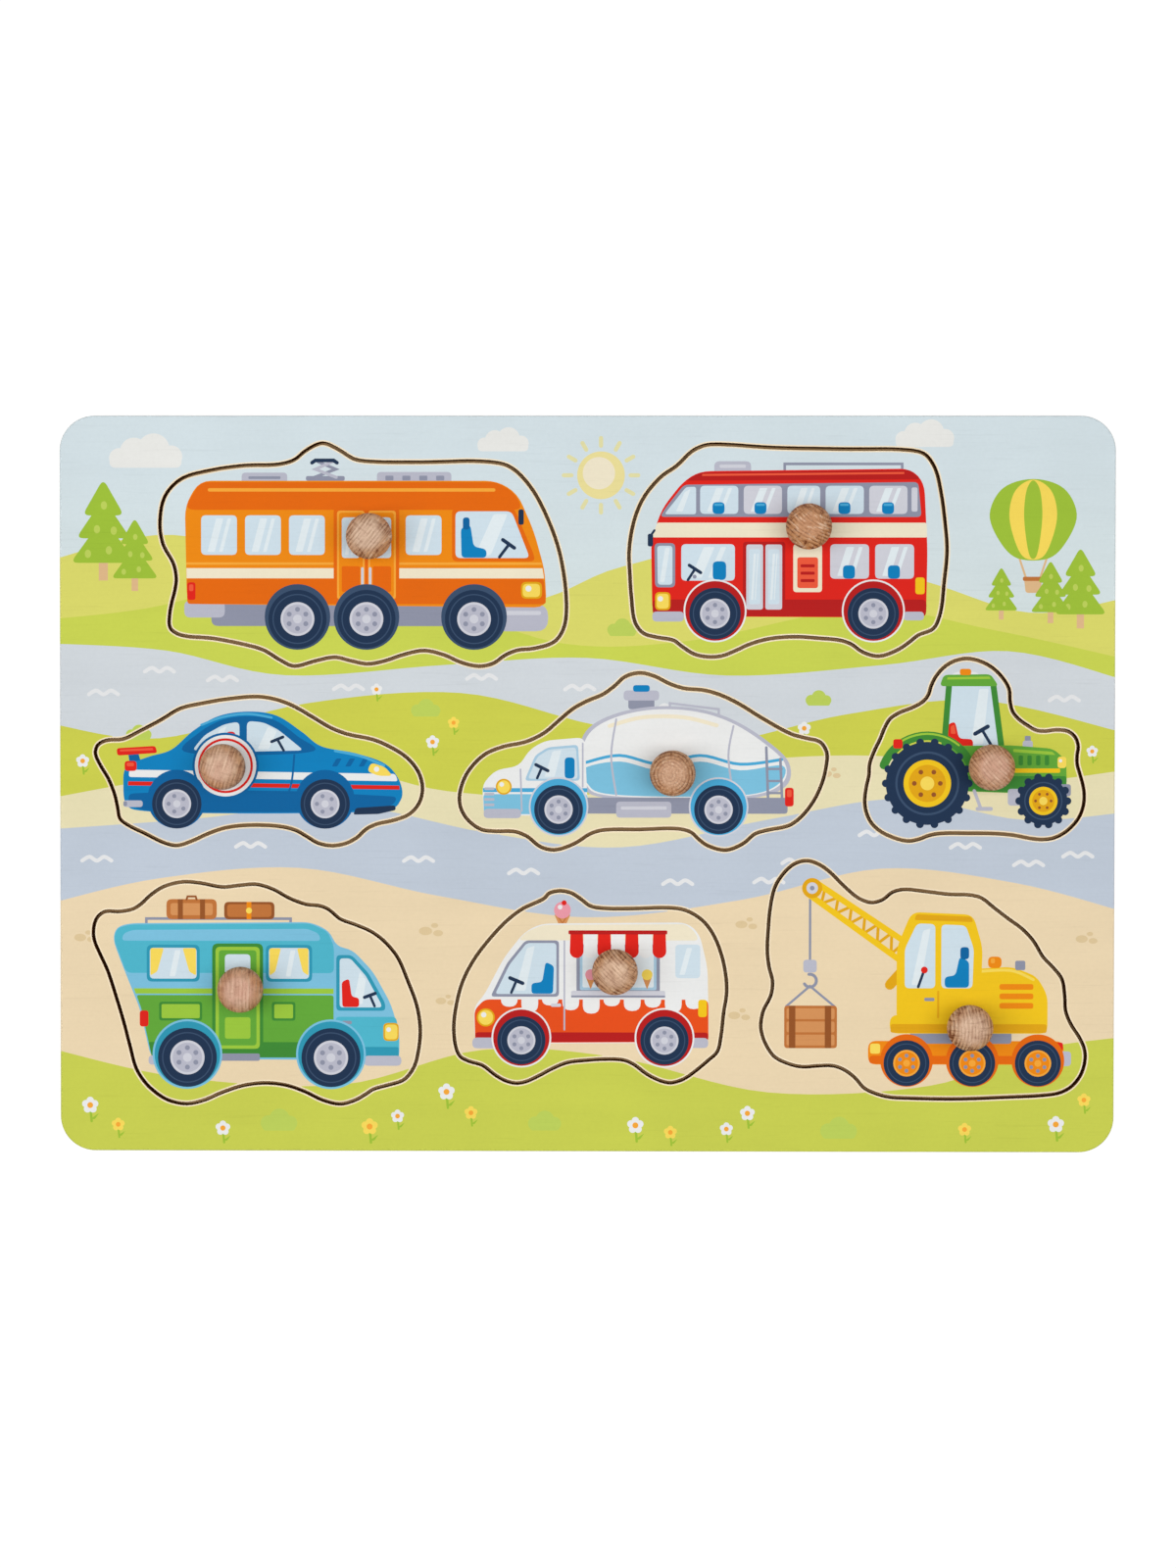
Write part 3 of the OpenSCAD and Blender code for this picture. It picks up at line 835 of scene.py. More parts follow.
@dataclass
class Plate:
    """A sawn plate, closed all round: a printed or plain upper face, eased walls and a plain back.

    Attributes:
        outline: Outline of the plate, anticlockwise, in millimetres.
        holes: Outlines of its holes.
        low: Height of the lower face.
        high: Height of the upper face.
        rim: How the outline's edge is eased.
        cut: How the holes' edges are eased.
        patches: Patches of ink on the upper face, each over those before it.
    """

    outline: list[Point]
    holes: list[list[Point]]
    low: float
    high: float
    rim: Wall
    cut: Wall
    patches: list[Patch] = field(default_factory=list)

    # Lean from which a wall counts as sawn, in radians, and how near points are taken as one, in millimetres
    STEEP, PRINT_NEAR, BACK_NEAR = 1.5, 1e-5, 1e-7

    def mesh(self, name: str) -> bpy.types.Mesh:
        """Builds the plate's mesh.

        Args:
            name: Name of the mesh.

        Returns:
            The mesh, in metres, with its ink as a colour on each face corner.
        """
        loops = [(wound(self.outline, True), self.rim), *((wound(hole, False), self.cut) for hole in self.holes)]
        known, source, places = {}, [], []
        for loop, wall in loops:
            source.append([])
            for (x, y), (nx, ny) in zip(loop, outward(loop)):
                source[-1].append(len(places))
                known[len(places)] = (nx, ny, wall)
                places.append((x - nx * wall.inset, y - ny * wall.inset))
        points, faces, inks = self._printed(places, source)
        verts = [(x, y, self.high) for (x, y), _ in points]
        polygons, owner = [], {}
        for face, patch in zip(faces, inks):
            polygons.append((face, Slot.PRINT, self._shades(face, points, patch), [(0, 0, 1)] * 3))
            owner.update({side: patch for side in zip(face, (*face[1:], face[0]))})
        back_source, back_places = [], []
        for ring in boundary(faces):
            aims, wall = self._aims(ring, points, known)
            levels = wall.stations(self.low, self.high)
            grid = [list(ring)]
            for inset, height, _ in levels[1:]:
                out = wall.inset - inset
                grid.append(list(range(len(verts), len(verts) + len(ring))))
                for (x, y), (nx, ny) in zip((points[vertex][0] for vertex in ring), aims):
                    verts.append((x + nx * out, y + ny * out, height))
            for level, (_, _, tilt) in enumerate(levels[:-1]):
                slot = Slot.PRINT if tilt < self.STEEP else Slot.RIM if wall is self.rim else Slot.CUT
                for i in range(len(ring)):
                    j = (i + 1) % len(ring)
                    corners = [(j, level), (i, level), (i, level + 1), (j, level + 1)]
                    colours = self._shades([ring[k] for k, _ in corners], points, owner[ring[i], ring[j]])
                    if wall.worn:
                        bare = 0 if level else 2
                        colours[bare:] = [(*colour[:3], 0.0) for colour in colours[bare:]]
                    polygons.append((tuple(grid[row][k] for k, row in corners), slot, colours,
                                     [tilted(aims[k], levels[row][2]) for k, row in corners]))
            back_source.append(list(range(len(back_places), len(back_places) + len(ring))))
            back_places.extend((verts[v][:2], v) for v in grid[-1])
        for face in self._back(back_places, back_source):
            polygons.append((face, Slot.BACK, [linear(Ink.CREAM.value)] * 3, [(0, 0, -1)] * 3))
        return closed_mesh(name, verts, polygons)

    def _printed(self, places: list[Point], source: list[list[int]]) -> tuple[list, list, list]:
        """Divides the upper face along the outlines of its patches.

        Args:
            places: Points of the face's own outlines.
            source: Numbers of the points of each outline.

        Returns:
            Each vertex with the outline point it came from, the triangles, and the patch that shows on each.
        """
        corners = list(places)
        polygons = [source[0], *(hole[::-1] for hole in source[1:])]
        shown = [patch for patch in self.patches if meet(patch.outline, places)]
        for patch in shown:
            loop = wound(tidy(patch.outline), True)
            polygons.append(list(range(len(corners), len(corners) + len(loop))))
            corners.extend(loop)
        points, _, faces, origins, _, owners = delaunay_2d_cdt(
            [Vector(corner) for corner in corners], [], polygons, 1, self.PRINT_NEAR, True)
        vertices = [((point.x, point.y), next((number for number in origin if number < len(places)), None))
                    for point, origin in zip(points, origins)]
        first = len(source)
        triangles, inks = [], []
        for face, owner in zip(faces, owners):
            if 0 in owner and not any(0 < number < first for number in owner):
                top = max((number for number in owner if number >= first), default=None)
                triangles.append(tuple(face))
                inks.append(None if top is None else shown[top - first])
        return vertices, triangles, inks

    def _shades(self, face: tuple[int, ...], points: list, patch: Patch | None) -> list[Colour]:
        """Gives the ink's colour at each corner of a face that shows a patch, or bare wood's."""
        return [patch.shade(points[vertex][0]) if patch else linear(Ink.CREAM.value) for vertex in face]

    def _aims(self, ring: list[int], points: list, known: dict) -> tuple[list[Point], Wall]:
        """Gives the outward direction at each vertex of a ring, also at those that the patches have added.

        Args:
            ring: Vertices of the ring, in order.
            points: The upper face's vertices.
            known: Outward direction and wall of each outline point.

        Returns:
            The directions, and the wall that stands on this ring.
        """
        count = len(ring)
        anchors = [i for i in range(count) if points[ring[i]][1] is not None]
        aims: list[Point] = [(0.0, 0.0)] * count
        for start, end in zip(anchors, anchors[1:] + [anchors[0] + count]):
            first, last = known[points[ring[start]][1]], known[points[ring[end % count]][1]]
            steps = [math.dist(points[ring[i % count]][0], points[ring[(i + 1) % count]][0]) for i in range(start, end)]
            walked, total = 0.0, sum(steps)
            for i in range(start, end):
                share = walked / total
                x, y = first[0] + (last[0] - first[0]) * share, first[1] + (last[1] - first[1]) * share
                length = math.hypot(x, y)
                aims[i % count] = (x / length, y / length)
                walked += steps[i - start]
        return aims, known[points[ring[anchors[0]]][1]][2]

    def _back(self, places: list, source: list[list[int]]) -> list[tuple[int, ...]]:
        """Fills the plate's lower face.

        Args:
            places: Place and vertex of each point of its outlines.
            source: Numbers of the points of each outline, the plate's own first or anywhere.

        Returns:
            The face's triangles, facing down.
        """
        widest = max(source, key=lambda loop: abs(area([places[i][0] for i in loop])))
        polygons = [widest, *(loop[::-1] for loop in source if loop is not widest)]
        _, _, faces, origins, _, owners = delaunay_2d_cdt(
            [Vector(place) for place, _ in places], [], polygons, 1, self.BACK_NEAR, True)
        return [
            tuple(places[origins[vertex][0]][1] for vertex in reversed(face))
            for face, owner in zip(faces, owners) if 0 in owner and len(owner) == 1
        ]


def area(loop: list[Point]) -> float:
    """Gives a loop's area, which is positive where it runs anticlockwise."""
    return sum(a[0] * b[1] - b[0] * a[1] for a, b in zip(loop, loop[1:] + loop[:1])) / 2


def wound(loop: list[Point], anticlockwise: bool) -> list[Point]:
    """Gives the loop in the direction that is asked."""
    return list(loop) if (area(list(loop)) > 0) == anticlockwise else list(reversed(loop))


def tidy(outline: tuple[Point, ...], least: float = 0.004) -> list[Point]:
    """Gives an outline without points that all but lie on the one before."""
    return [point for point, before in zip(outline, (outline[-1], *outline)) if math.dist(point, before) > least]


def meet(first: tuple[Point, ...], second: list[Point]) -> bool:
    """Tells whether the boxes round two outlines meet."""
    return all(max(a) >= min(b) and min(a) <= max(b) for a, b in zip(zip(*first), zip(*second)))


def outward(loop: list[Point]) -> list[Point]:
    """Gives the direction away from the wood at each point of a loop that has the wood on its left.

    Args:
        loop: The loop's points.

    Returns:
        One direction for each point, of length one.
    """
    aims = []
    for i, point in enumerate(loop):
        before, after = loop[i - 1], loop[(i + 1) % len(loop)]
        back, ahead = math.dist(before, point), math.dist(point, after)
        x = (point[0] - before[0]) / back + (after[0] - point[0]) / ahead
        y = (point[1] - before[1]) / back + (after[1] - point[1]) / ahead
        length = math.hypot(x, y)
        aims.append((y / length, -x / length))
    return aims


def tilted(aim: Point, tilt: float) -> Point3:
    """Gives a normal that leans from straight up towards an aim by an angle."""
    return aim[0] * math.sin(tilt), aim[1] * math.sin(tilt), math.cos(tilt)


def boundary(triangles: list[tuple[int, ...]]) -> list[list[int]]:
    """Finds the loops of edges that only one triangle has.

    Args:
        triangles: The triangles, all facing up.

    Returns:
        Vertices of each loop, in order.
    """
    edges = {(face[i], face[(i + 1) % len(face)]) for face in triangles for i in range(len(face))}
    follows = {a: b for a, b in edges if (b, a) not in edges}
    loops = []
    while follows:
        start, vertex = follows.popitem()
        loop = [start]
        while vertex != start:
            loop.append(vertex)
            vertex = follows.pop(vertex)
        loops.append(loop)
    return loops


def closed_mesh(name: str, verts: list[Point3], polygons: list) -> bpy.types.Mesh:
    """Makes a mesh with its materials' places, its ink and its own normals.

    Args:
        name: Name of the mesh.
        verts: Vertices in millimetres.
        polygons: Vertices, slot, corner colours and corner normals of each face.

    Returns:
        The mesh, in metres.
    """
    made = bpy.data.meshes.new(name)
    used = {vertex: number for number, vertex in enumerate(sorted({v for polygon in polygons for v in polygon[0]}))}
    faces = [[used[vertex] for vertex in polygon[0]] for polygon in polygons]
    made.from_pydata([tuple(c * MM for c in verts[vertex]) for vertex in used], [], faces)
    made.polygons.foreach_set("material_index", [polygon[1].value for polygon in polygons])
    made.polygons.foreach_set("use_smooth", [True] * len(polygons))
    layer = made.color_attributes.new(INK_LAYER, "FLOAT_COLOR", "CORNER")
    layer.data.foreach_set("color", [value for polygon in polygons for colour in polygon[2] for value in colour])
    made.normals_split_custom_set([normal for polygon in polygons for normal in polygon[3]])
    made.update()
    return made


def flat_loops(node: bpy.types.Object, height: float, near: float = 0.01) -> list[list[Point]]:
    """Reads the outlines of a solid's flat face at a height.

    Args:
        node: The solid.
        height: Height of the face, in millimetres.
        near: How far from that height the face's points may lie.

    Returns:
        The loops in millimetres, the plate's own outline first.
    """
    numbers: dict[Point3, int] = {}
    corner = [numbers.setdefault(tuple(round(c / MM, 4) for c in v.co), len(numbers)) for v in node.data.vertices]
    places, faces = list(numbers), []
    for polygon in node.data.polygons:
        face = tuple(corner[v] for v in polygon.vertices)
        if len(set(face)) > 2 and all(abs(places[v][2] - height) < near for v in face):
            faces.append(face if polygon.normal.z > 0 else face[::-1])
    loops = [[places[v][:2] for v in loop] for loop in boundary(faces)]
    return sorted(loops, key=lambda loop: -abs(area(loop)))


@dataclass
class Landscape:
    """The landscape that is printed across the board and the pieces.

    Attributes:
        half_w: Half of the board's width, in millimetres.
        half_d: Half of its depth.
        spill: How far the picture runs past the edge.
        pen: Pen that draws it.
    """

    half_w: float = 150.5
    half_d: float = 105.0
    spill: float = 2.0
    pen: Pen = field(default_factory=Pen)

    CLOUDS = [(-126, 92.5), (96, 98, 0.8), (-24, 96.5, 0.7)]
    WAVES = [
        (-138, 26), (-104, 30), (-2, 27.5), (20, 22), (108, 31), (136, 24.5), (-140, -21.5), (-96, -17.5),
        (-48, -21.5), (-18, -25), (26, -28), (60, -22), (82, -14), (108, -17.5), (140, -20), (-122, 32.5),
        (52, -27.5), (-68, 27.5), (126, -22.5), (-30, 30.5),
    ]
    FIRS = [(-138, 58), (-129, 55, 0.72), (118, 47, 0.52), (140.5, 44.5, 0.8), (132, 46, 0.62)]
    FLOWERS = [
        (-142, -92, 1, Ink.WHITE), (-134, -97.5, 0.8, Ink.LEMON), (-104, -98.5, 0.9, Ink.WHITE),
        (-62, -98, 1, Ink.LEMON), (-54, -95, 0.8, Ink.WHITE), (-40, -88, 1, Ink.WHITE), (-33, -94, 0.8, Ink.LEMON),
        (14, -97.5, 1, Ink.WHITE), (24, -99.5, 0.8, Ink.LEMON), (46, -94, 0.9, Ink.WHITE), (40, -98.5, 0.8, Ink.WHITE),
        (108, -98.5, 0.8, Ink.LEMON), (134, -97, 1, Ink.WHITE), (142, -90, 0.8, Ink.LEMON),
        (-144, 6.5, 0.8, Ink.WHITE), (-44, 12, 0.8, Ink.WHITE), (-38, 17.5, 0.7, Ink.LEMON), (-60, 27, 0.7, Ink.WHITE),
        (62, 16, 0.8, Ink.WHITE), (144, 9.5, 0.7, Ink.WHITE),
    ]
    STONES = [
        (-44, -42), (46, -40, 0.9), (70, 3, 0.8), (-40, -62, 0.8), (44, -66, 0.9), (143, -44, 0.9), (-143, -44, 0.9),
    ]
    BUSHES = [(-88, -97), (72, -99), (-12, -97, 0.9), (-128, 14, 0.7), (66, 24, 0.7), (-46, 21, 0.8), (10, 44, 0.8)]

    def picture(self) -> list[Patch]:
        """Draws sky, hills, a river with a lake, fields and lawn, and what stands in them.

        Returns:
            The landscape's patches.
        """
        right, top = self.half_w + self.spill, self.half_d + self.spill
        self.pen.box(Ink.SKY, -right, -top, right, top)
        self.pen.fade(Ink.SKY_LOW, (0, 90), (0, 50))
        self.sun(self.pen.at(4, 88))
        for place in self.CLOUDS:
            self.cloud(self.pen.at(*place))
        # Far hills, the first river arm and the near hill
        self.band(Ink.FAR_HILL, 64, -118, 71, -70, 60, -20, 52, 10, 62, 52, 70, 96, 58, 126, 49, 53)
        self.band(Ink.NEAR_HILL, 47, -126, 50, -84, 58, -40, 50, -6, 40, 30, 41, 78, 50, 116, 44, 36)
        self.band(Ink.WATER_PALE, 40, -120, 38, -86, 31, -40, 34, 0, 36, 40, 31, 84, 34, 120, 38, 30)
        self.band(Ink.MEADOW, 17, -122, 13, -80, 23, -36, 26, 2, 17, 36, 12, 74, 20, 112, 24, 15)
        self.band(Ink.SAND_PALE, -4, -118, 2, -76, 6, -40, -2, 0, -3, 40, 6, 86, 8, 120, 1, 4)
        self.band(Ink.WATER, -13, -112, -10, -70, -6, -28, -14, 10, -18, 52, -10, 90, -4, 124, -10, -8)
        self.band(Ink.SAND, -34, -122, -27, -82, -24, -42, -32, 0, -38, 44, -33, 84, -24, 122, -28, -36)
        self.band(Ink.LAWN, -76, -116, -84, -70, -86, -30, -76, 8, -78, 52, -88, 98, -86, 126, -76, -72)
        for place in self.WAVES:
            self.wave(self.pen.at(*place))
        self.balloon(self.pen.at(127, 74))
        for place in self.FIRS:
            self.fir(self.pen.at(*place))
        for *place, ink in self.FLOWERS:
            self.flower(self.pen.at(*place), ink)
        for place in self.STONES:
            self.stones(self.pen.at(*place))
        for place in self.BUSHES:
            self.bush(self.pen.at(*place))
        return self.pen.patches

    def band(self, ink: Ink, first: float, *crest: float) -> None:
        """Draws ground from a crest line down to the lower edge.

        Args:
            ink: Ink of the ground.
            first: Height of the crest at the left edge.
            crest: Places of the crest, and its height at the right edge.
        """
        right, low = self.half_w + self.spill, -self.half_d - self.spill
        line = through([(-right, first), *pairs(crest[:-1]), (right, crest[-1])], steps=8)
        self.pen.fill(ink, [*line, (right, low), (-right, low)])

    def sun(self, pen: Pen) -> None:
        """Draws a pale sun with short rays.

        Args:
            pen: Pen at the sun's middle.
        """
        for ray in zip(arc(0, 0, 8.4, 0, 330, 11), arc(0, 0, 10.6, 0, 330, 11)):
            pen.stroke(Ink.SUN_RAY, 1.2, list(ray))
        pen.disc(Ink.SUN, 0, 0, 6.8)
        pen.disc(Ink.CREAM, -0.6, 0.6, 4.6)

    def cloud(self, pen: Pen) -> None:
        """Draws a cloud of puffs on a flat foot."""
        pen.discs(Ink.CLOUD, (-7.5, 0.4, 2.8), (-3.2, 2.2, 4), (2.4, 2.8, 4.6), (7.4, 0.8, 3.2))
        pen.box(Ink.CLOUD, -10.2, -2.4, 10.4, 1.4, 1.8)

    def wave(self, pen: Pen) -> None:
        """Draws a small white wave."""
        pen.curve(Ink.FOAM, 1.1, -4.2, -0.5, -2.1, 0.6, 0, -0.5, 2.1, 0.6, 4.2, -0.5)

    def balloon(self, pen: Pen) -> None:
        """Draws a balloon with its gores and its basket.

        Args:
            pen: Pen at the middle of the balloon.
        """
        for side in (-1, 1):
            pen.line(Ink.BARK, 0.6, side * 4.2, -8.6, side * 1.9, -15.5)
        for ink, *places in (
            (Ink.LEAF, 0, 13, 8.6, 10.4, 12.4, 3, 9.6, -4.6, 4.4, -9.6),
            (Ink.LEMON, 0, 12.8, 5, 9.8, 6.8, 3, 5.2, -4.6, 2.4, -9.4),
            (Ink.LEAF, 0, 12.6, 1.9, 9.8, 2.6, 3, 1.9, -4.6, 0.8, -9.2),
        ):
            half = pairs(places)
            pen.fill(ink, through([*half, *((-x, y) for x, y in reversed(half[1:]))], closed=True))
        pen.shape(Ink.BARK, 0.8, -2.6, -15, 2.6, -15, 2.1, -19.4, -2.1, -19.4)
        pen.box(Ink.BROWN, -2.9, -16, 2.9, -14.8, 0.5)

    def fir(self, pen: Pen) -> None:
        """Draws a fir tree of three tiers.

        Args:
            pen: Pen at the tree's foot.
        """
        pen.box(Ink.BARK, -1.3, 0, 1.3, 8)
        for low, wide, tall in ((5, 9.4, 13), (12, 7.8, 11.5), (18.5, 6, 10.5)):
            pen.shape(Ink.LEAF, 2.2, -wide, low, 0, low + tall, wide, low)
        for x, y in ((-4.4, 7.6), (1.6, 8.6), (-1.8, 14.6), (3, 14.2), (0.2, 21.4)):
            pen.disc(Ink.MOSS, x, y, 0.9, 1.2)

    def flower(self, pen: Pen, ink: Ink) -> None:
        """Draws a flower of five petals on a stalk with one leaf.

        Args:
            pen: Pen at the middle of the petals.
            ink: Ink of the petals.
        """
        pen.line(Ink.LEAF, 0.7, 0, 0, 0.4, -4.6)
        pen.shape(Ink.LEAF, 0.6, 0.3, -3.8, 2.6, -2.2, 1.2, -4.2)
        for x, y in arc(0, 0, 1.35, 90, 378, 4):
            pen.disc(ink, x, y, 1.05)
        pen.disc(Ink.PEACH, 0, 0, 0.85)

    def stones(self, pen: Pen) -> None:
        """Draws three stones on the sand."""
        pen.discs(Ink.SAND_DARK, (-2, 0, 1.9, 1.2), (1.6, -0.6, 1.4, 0.9), (0.6, 1.6, 1, 0.7))

    def bush(self, pen: Pen) -> None:
        """Draws a low bush."""
        pen.discs(Ink.MOSS, (-3, 0, 2.2), (0.2, 1.2, 2.9), (3.2, 0, 2.1))
        pen.box(Ink.MOSS, -4.6, -2.2, 4.8, 0, 1)


@dataclass(frozen=True)
class Blank:
    """Wood that a knob is turned from.

    Attributes:
        rings: Direction that the growth rings run in on top, in degrees from +X towards +Y.
        pith: Distance of the tree's middle from the knob's axis, in millimetres.
        depth: Where along the grain it was cut, in millimetres.
        tone: How warm the wood is, from 0 to 1.
        strokes: How strong its rings and rays are.
        rosy: How rosy it is.
    """

    rings: float = 90.0
    pith: float = 30.0
    depth: float = 0.0
    tone: float = 0.2
    strokes: float = 0.7
    rosy: float = 0.2


@dataclass
class Body:
    """A sub-assembly: what it stands for, what it rides on and what it has made.

    Attributes:
        body: Body of the frame that its pieces move with.
        pieces: Pieces that it has built, by name.
    """

    body: str = "board"
    pieces: dict[str, bpy.types.Object] = field(default_factory=dict)

    def add(self, name: str, mesh: bpy.types.Mesh, node: str, slot: str) -> bpy.types.Object:
        """Puts a mesh in the scene in place of a solid.

        Args:
            name: Name of the piece.
            mesh: Its mesh, in place.
            node: Solid that it stands for.
            slot: Not used.

        Returns:
            The piece.
        """
        piece = in_scene(name, mesh)
        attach(piece, self.body)
        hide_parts(node)
        self.pieces[name] = piece
        LOG.info("%s: %d vertices, %d faces", name, len(mesh.vertices), len(mesh.polygons))
        return piece

    def dress(self, name: str, finishes: list[Finish]) -> None:
        """Gives a piece its finishes, one for each of its slots."""
        for finish in finishes:
            self.pieces[name].data.materials.append(finish.material())


@dataclass
class BackingBoard(Body):
    """The plain plate that closes the recesses from below.

    Attributes:
        corner: Radius of its corners, in millimetres.
        ease: Radius of its lower edge.
    """

    corner: float = 10.0
    ease: float = 0.5

    def build(self) -> None:
        """Builds the board."""
        low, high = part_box("backing_board")
        plate = Plate(board_outline(low, high, self.corner), [], low.z / MM, high.z / MM,
                      rim=Wall(0, self.ease, 5), cut=Wall(0, 0))
        self.add("plain_back", plate.mesh("plain_back"), "backing_board", "backing_plywood")

    def finish(self) -> None:
        """Dresses the board in plywood, its upper face darker: painted shade for the floors of the recesses."""
        low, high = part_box("backing_board")
        ply = (high.z - low.z) / 3
        plywood = PlywoodFinish("back_plywood", low.z, high.z, ply)
        # Painted shade: a darker upper face, so that the floors of the recesses look shaded
        floor = PlywoodFinish("shaded_floor", low.z, high.z, ply, "d0a670", "b2834a")
        self.dress("plain_back", [floor, plywood, plywood, plywood])


@dataclass
class FrontBoard(Body):
    """The printed plate that the vehicles are sawn out of.

    Attributes:
        corner: Radius of its corners, in millimetres.
        ease: Radius of its upper edge.
        saw_ease: Radius of the sanded edge along each cut.
        saw_worn: Width of the band along each cut that has lost its ink.
        foot_ease: Radius of each cut's lower edge.
    """

    corner: float = 10.0
    ease: float = 0.5
    saw_ease: float = 0.15
    saw_worn: float = 0.42
    foot_ease: float = 0.05

    def build(self, landscape: list[Patch]) -> None:
        """Builds the board with its recesses.

        Args:
            landscape: Patches of the landscape, in millimetres.
        """
        low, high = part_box("front_board")
        loops = flat_loops(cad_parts["front_board"], high.z / MM)
        plate = Plate(
            board_outline(low, high, self.corner), [smoothed(loop) for loop in loops[1:]], low.z / MM, high.z / MM,
            rim=Wall(self.ease, 0, 5), cut=Wall(self.saw_ease, self.foot_ease, worn=self.saw_worn), patches=landscape,
        )
        self.add("printed_front", plate.mesh("printed_front"), "front_board", "printed_board")

    def finish(self) -> None:
        """Dresses the board: ink above, plies at the edge, and browned walls with painted shade in the cuts."""
        low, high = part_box("front_board")
        plywood = PlywoodFinish("front_plywood", low.z, high.z)
        sawn = SawnFinish("sawn_wall", high.z, low.z)
        self.dress("printed_front", [PrintFinish("matt_print", high.z), plywood, sawn, plywood])


@dataclass
class VehiclePiece(Body):
    """A sawn piece with the picture of a vehicle, and the knob that lifts it.

    Attributes:
        name: Name of the vehicle, in the frame and in the scene.
        picture_scale: Size of the picture, so that wood shows all round it.
        saw_gap: Width of the saw cut, in millimetres.
        saw_ease: Radius of the sanded edge along the cut.
        saw_worn: Width of the band along the cut that has lost its ink.
        bore_ease: Radius of the edge of the knob's bore.
        blank: Wood that the knob is turned from.
        pen: Pen in millimetres from the lower left corner of the piece.
    """

    name: str = ""
    picture_scale: float = 0.955
    saw_gap: float = 1.0
    saw_ease: float = 0.15
    saw_worn: float = 0.42
    bore_ease: float = 0.05
    blank: Blank = Blank()
    pen: Pen = field(default_factory=Pen)

    def paint(self) -> None:
        """Draws the vehicle; each kind has its own picture."""
        raise NotImplementedError

    def picture(self) -> list[Patch]:
        """Draws the vehicle where its piece lies.

        Returns:
            The patches of the picture, in millimetres.
        """
        low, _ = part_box(f"{self.name}_piece")
        knob_low, knob_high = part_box(f"{self.name}_knob")
        knob = (knob_low + knob_high) / 2 / MM
        corner = low / MM - Vector((self.saw_gap / 2, self.saw_gap / 2, 0))
        self.pen.x0, self.pen.y0 = (k + (c - k) * self.picture_scale for k, c in zip(knob.xy, corner.xy))
        self.pen.scale = self.picture_scale
        self.paint()
        return self.pen.patches

    def build(self, landscape: list[Patch]) -> None:
        """Builds the plate and its knob.

        Args:
            landscape: Patches of the landscape that shows round the vehicle.
        """
        self.body = self.name
        node = f"{self.name}_piece"
        low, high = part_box(node)
        loops = flat_loops(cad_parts[node], high.z / MM)
        plate = Plate(
            smoothed(loops[0]), loops[1:], low.z / MM, high.z / MM,
            rim=Wall(self.saw_ease, self.saw_ease, worn=self.saw_worn), cut=Wall(self.bore_ease, self.bore_ease, 1),
            patches=[*landscape, *self.picture()],
        )
        self.add(f"{self.name}_plate", plate.mesh(f"{self.name}_plate"), node, f"{self.name}_print")
        self.add(f"{self.name}_peg", Knob(self.name, self.blank).mesh(), f"{self.name}_knob", "turned_beech")

    def finish(self) -> None:
        """Dresses the plate; the knob gets its beech on the lathe."""
        low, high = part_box(f"{self.name}_piece")
        sawn = SawnFinish("sawn_wall", high.z, low.z)
        plywood = PlywoodFinish("front_plywood", low.z, high.z)
        self.dress(f"{self.name}_plate", [PrintFinish("matt_print", high.z), sawn, sawn, plywood])


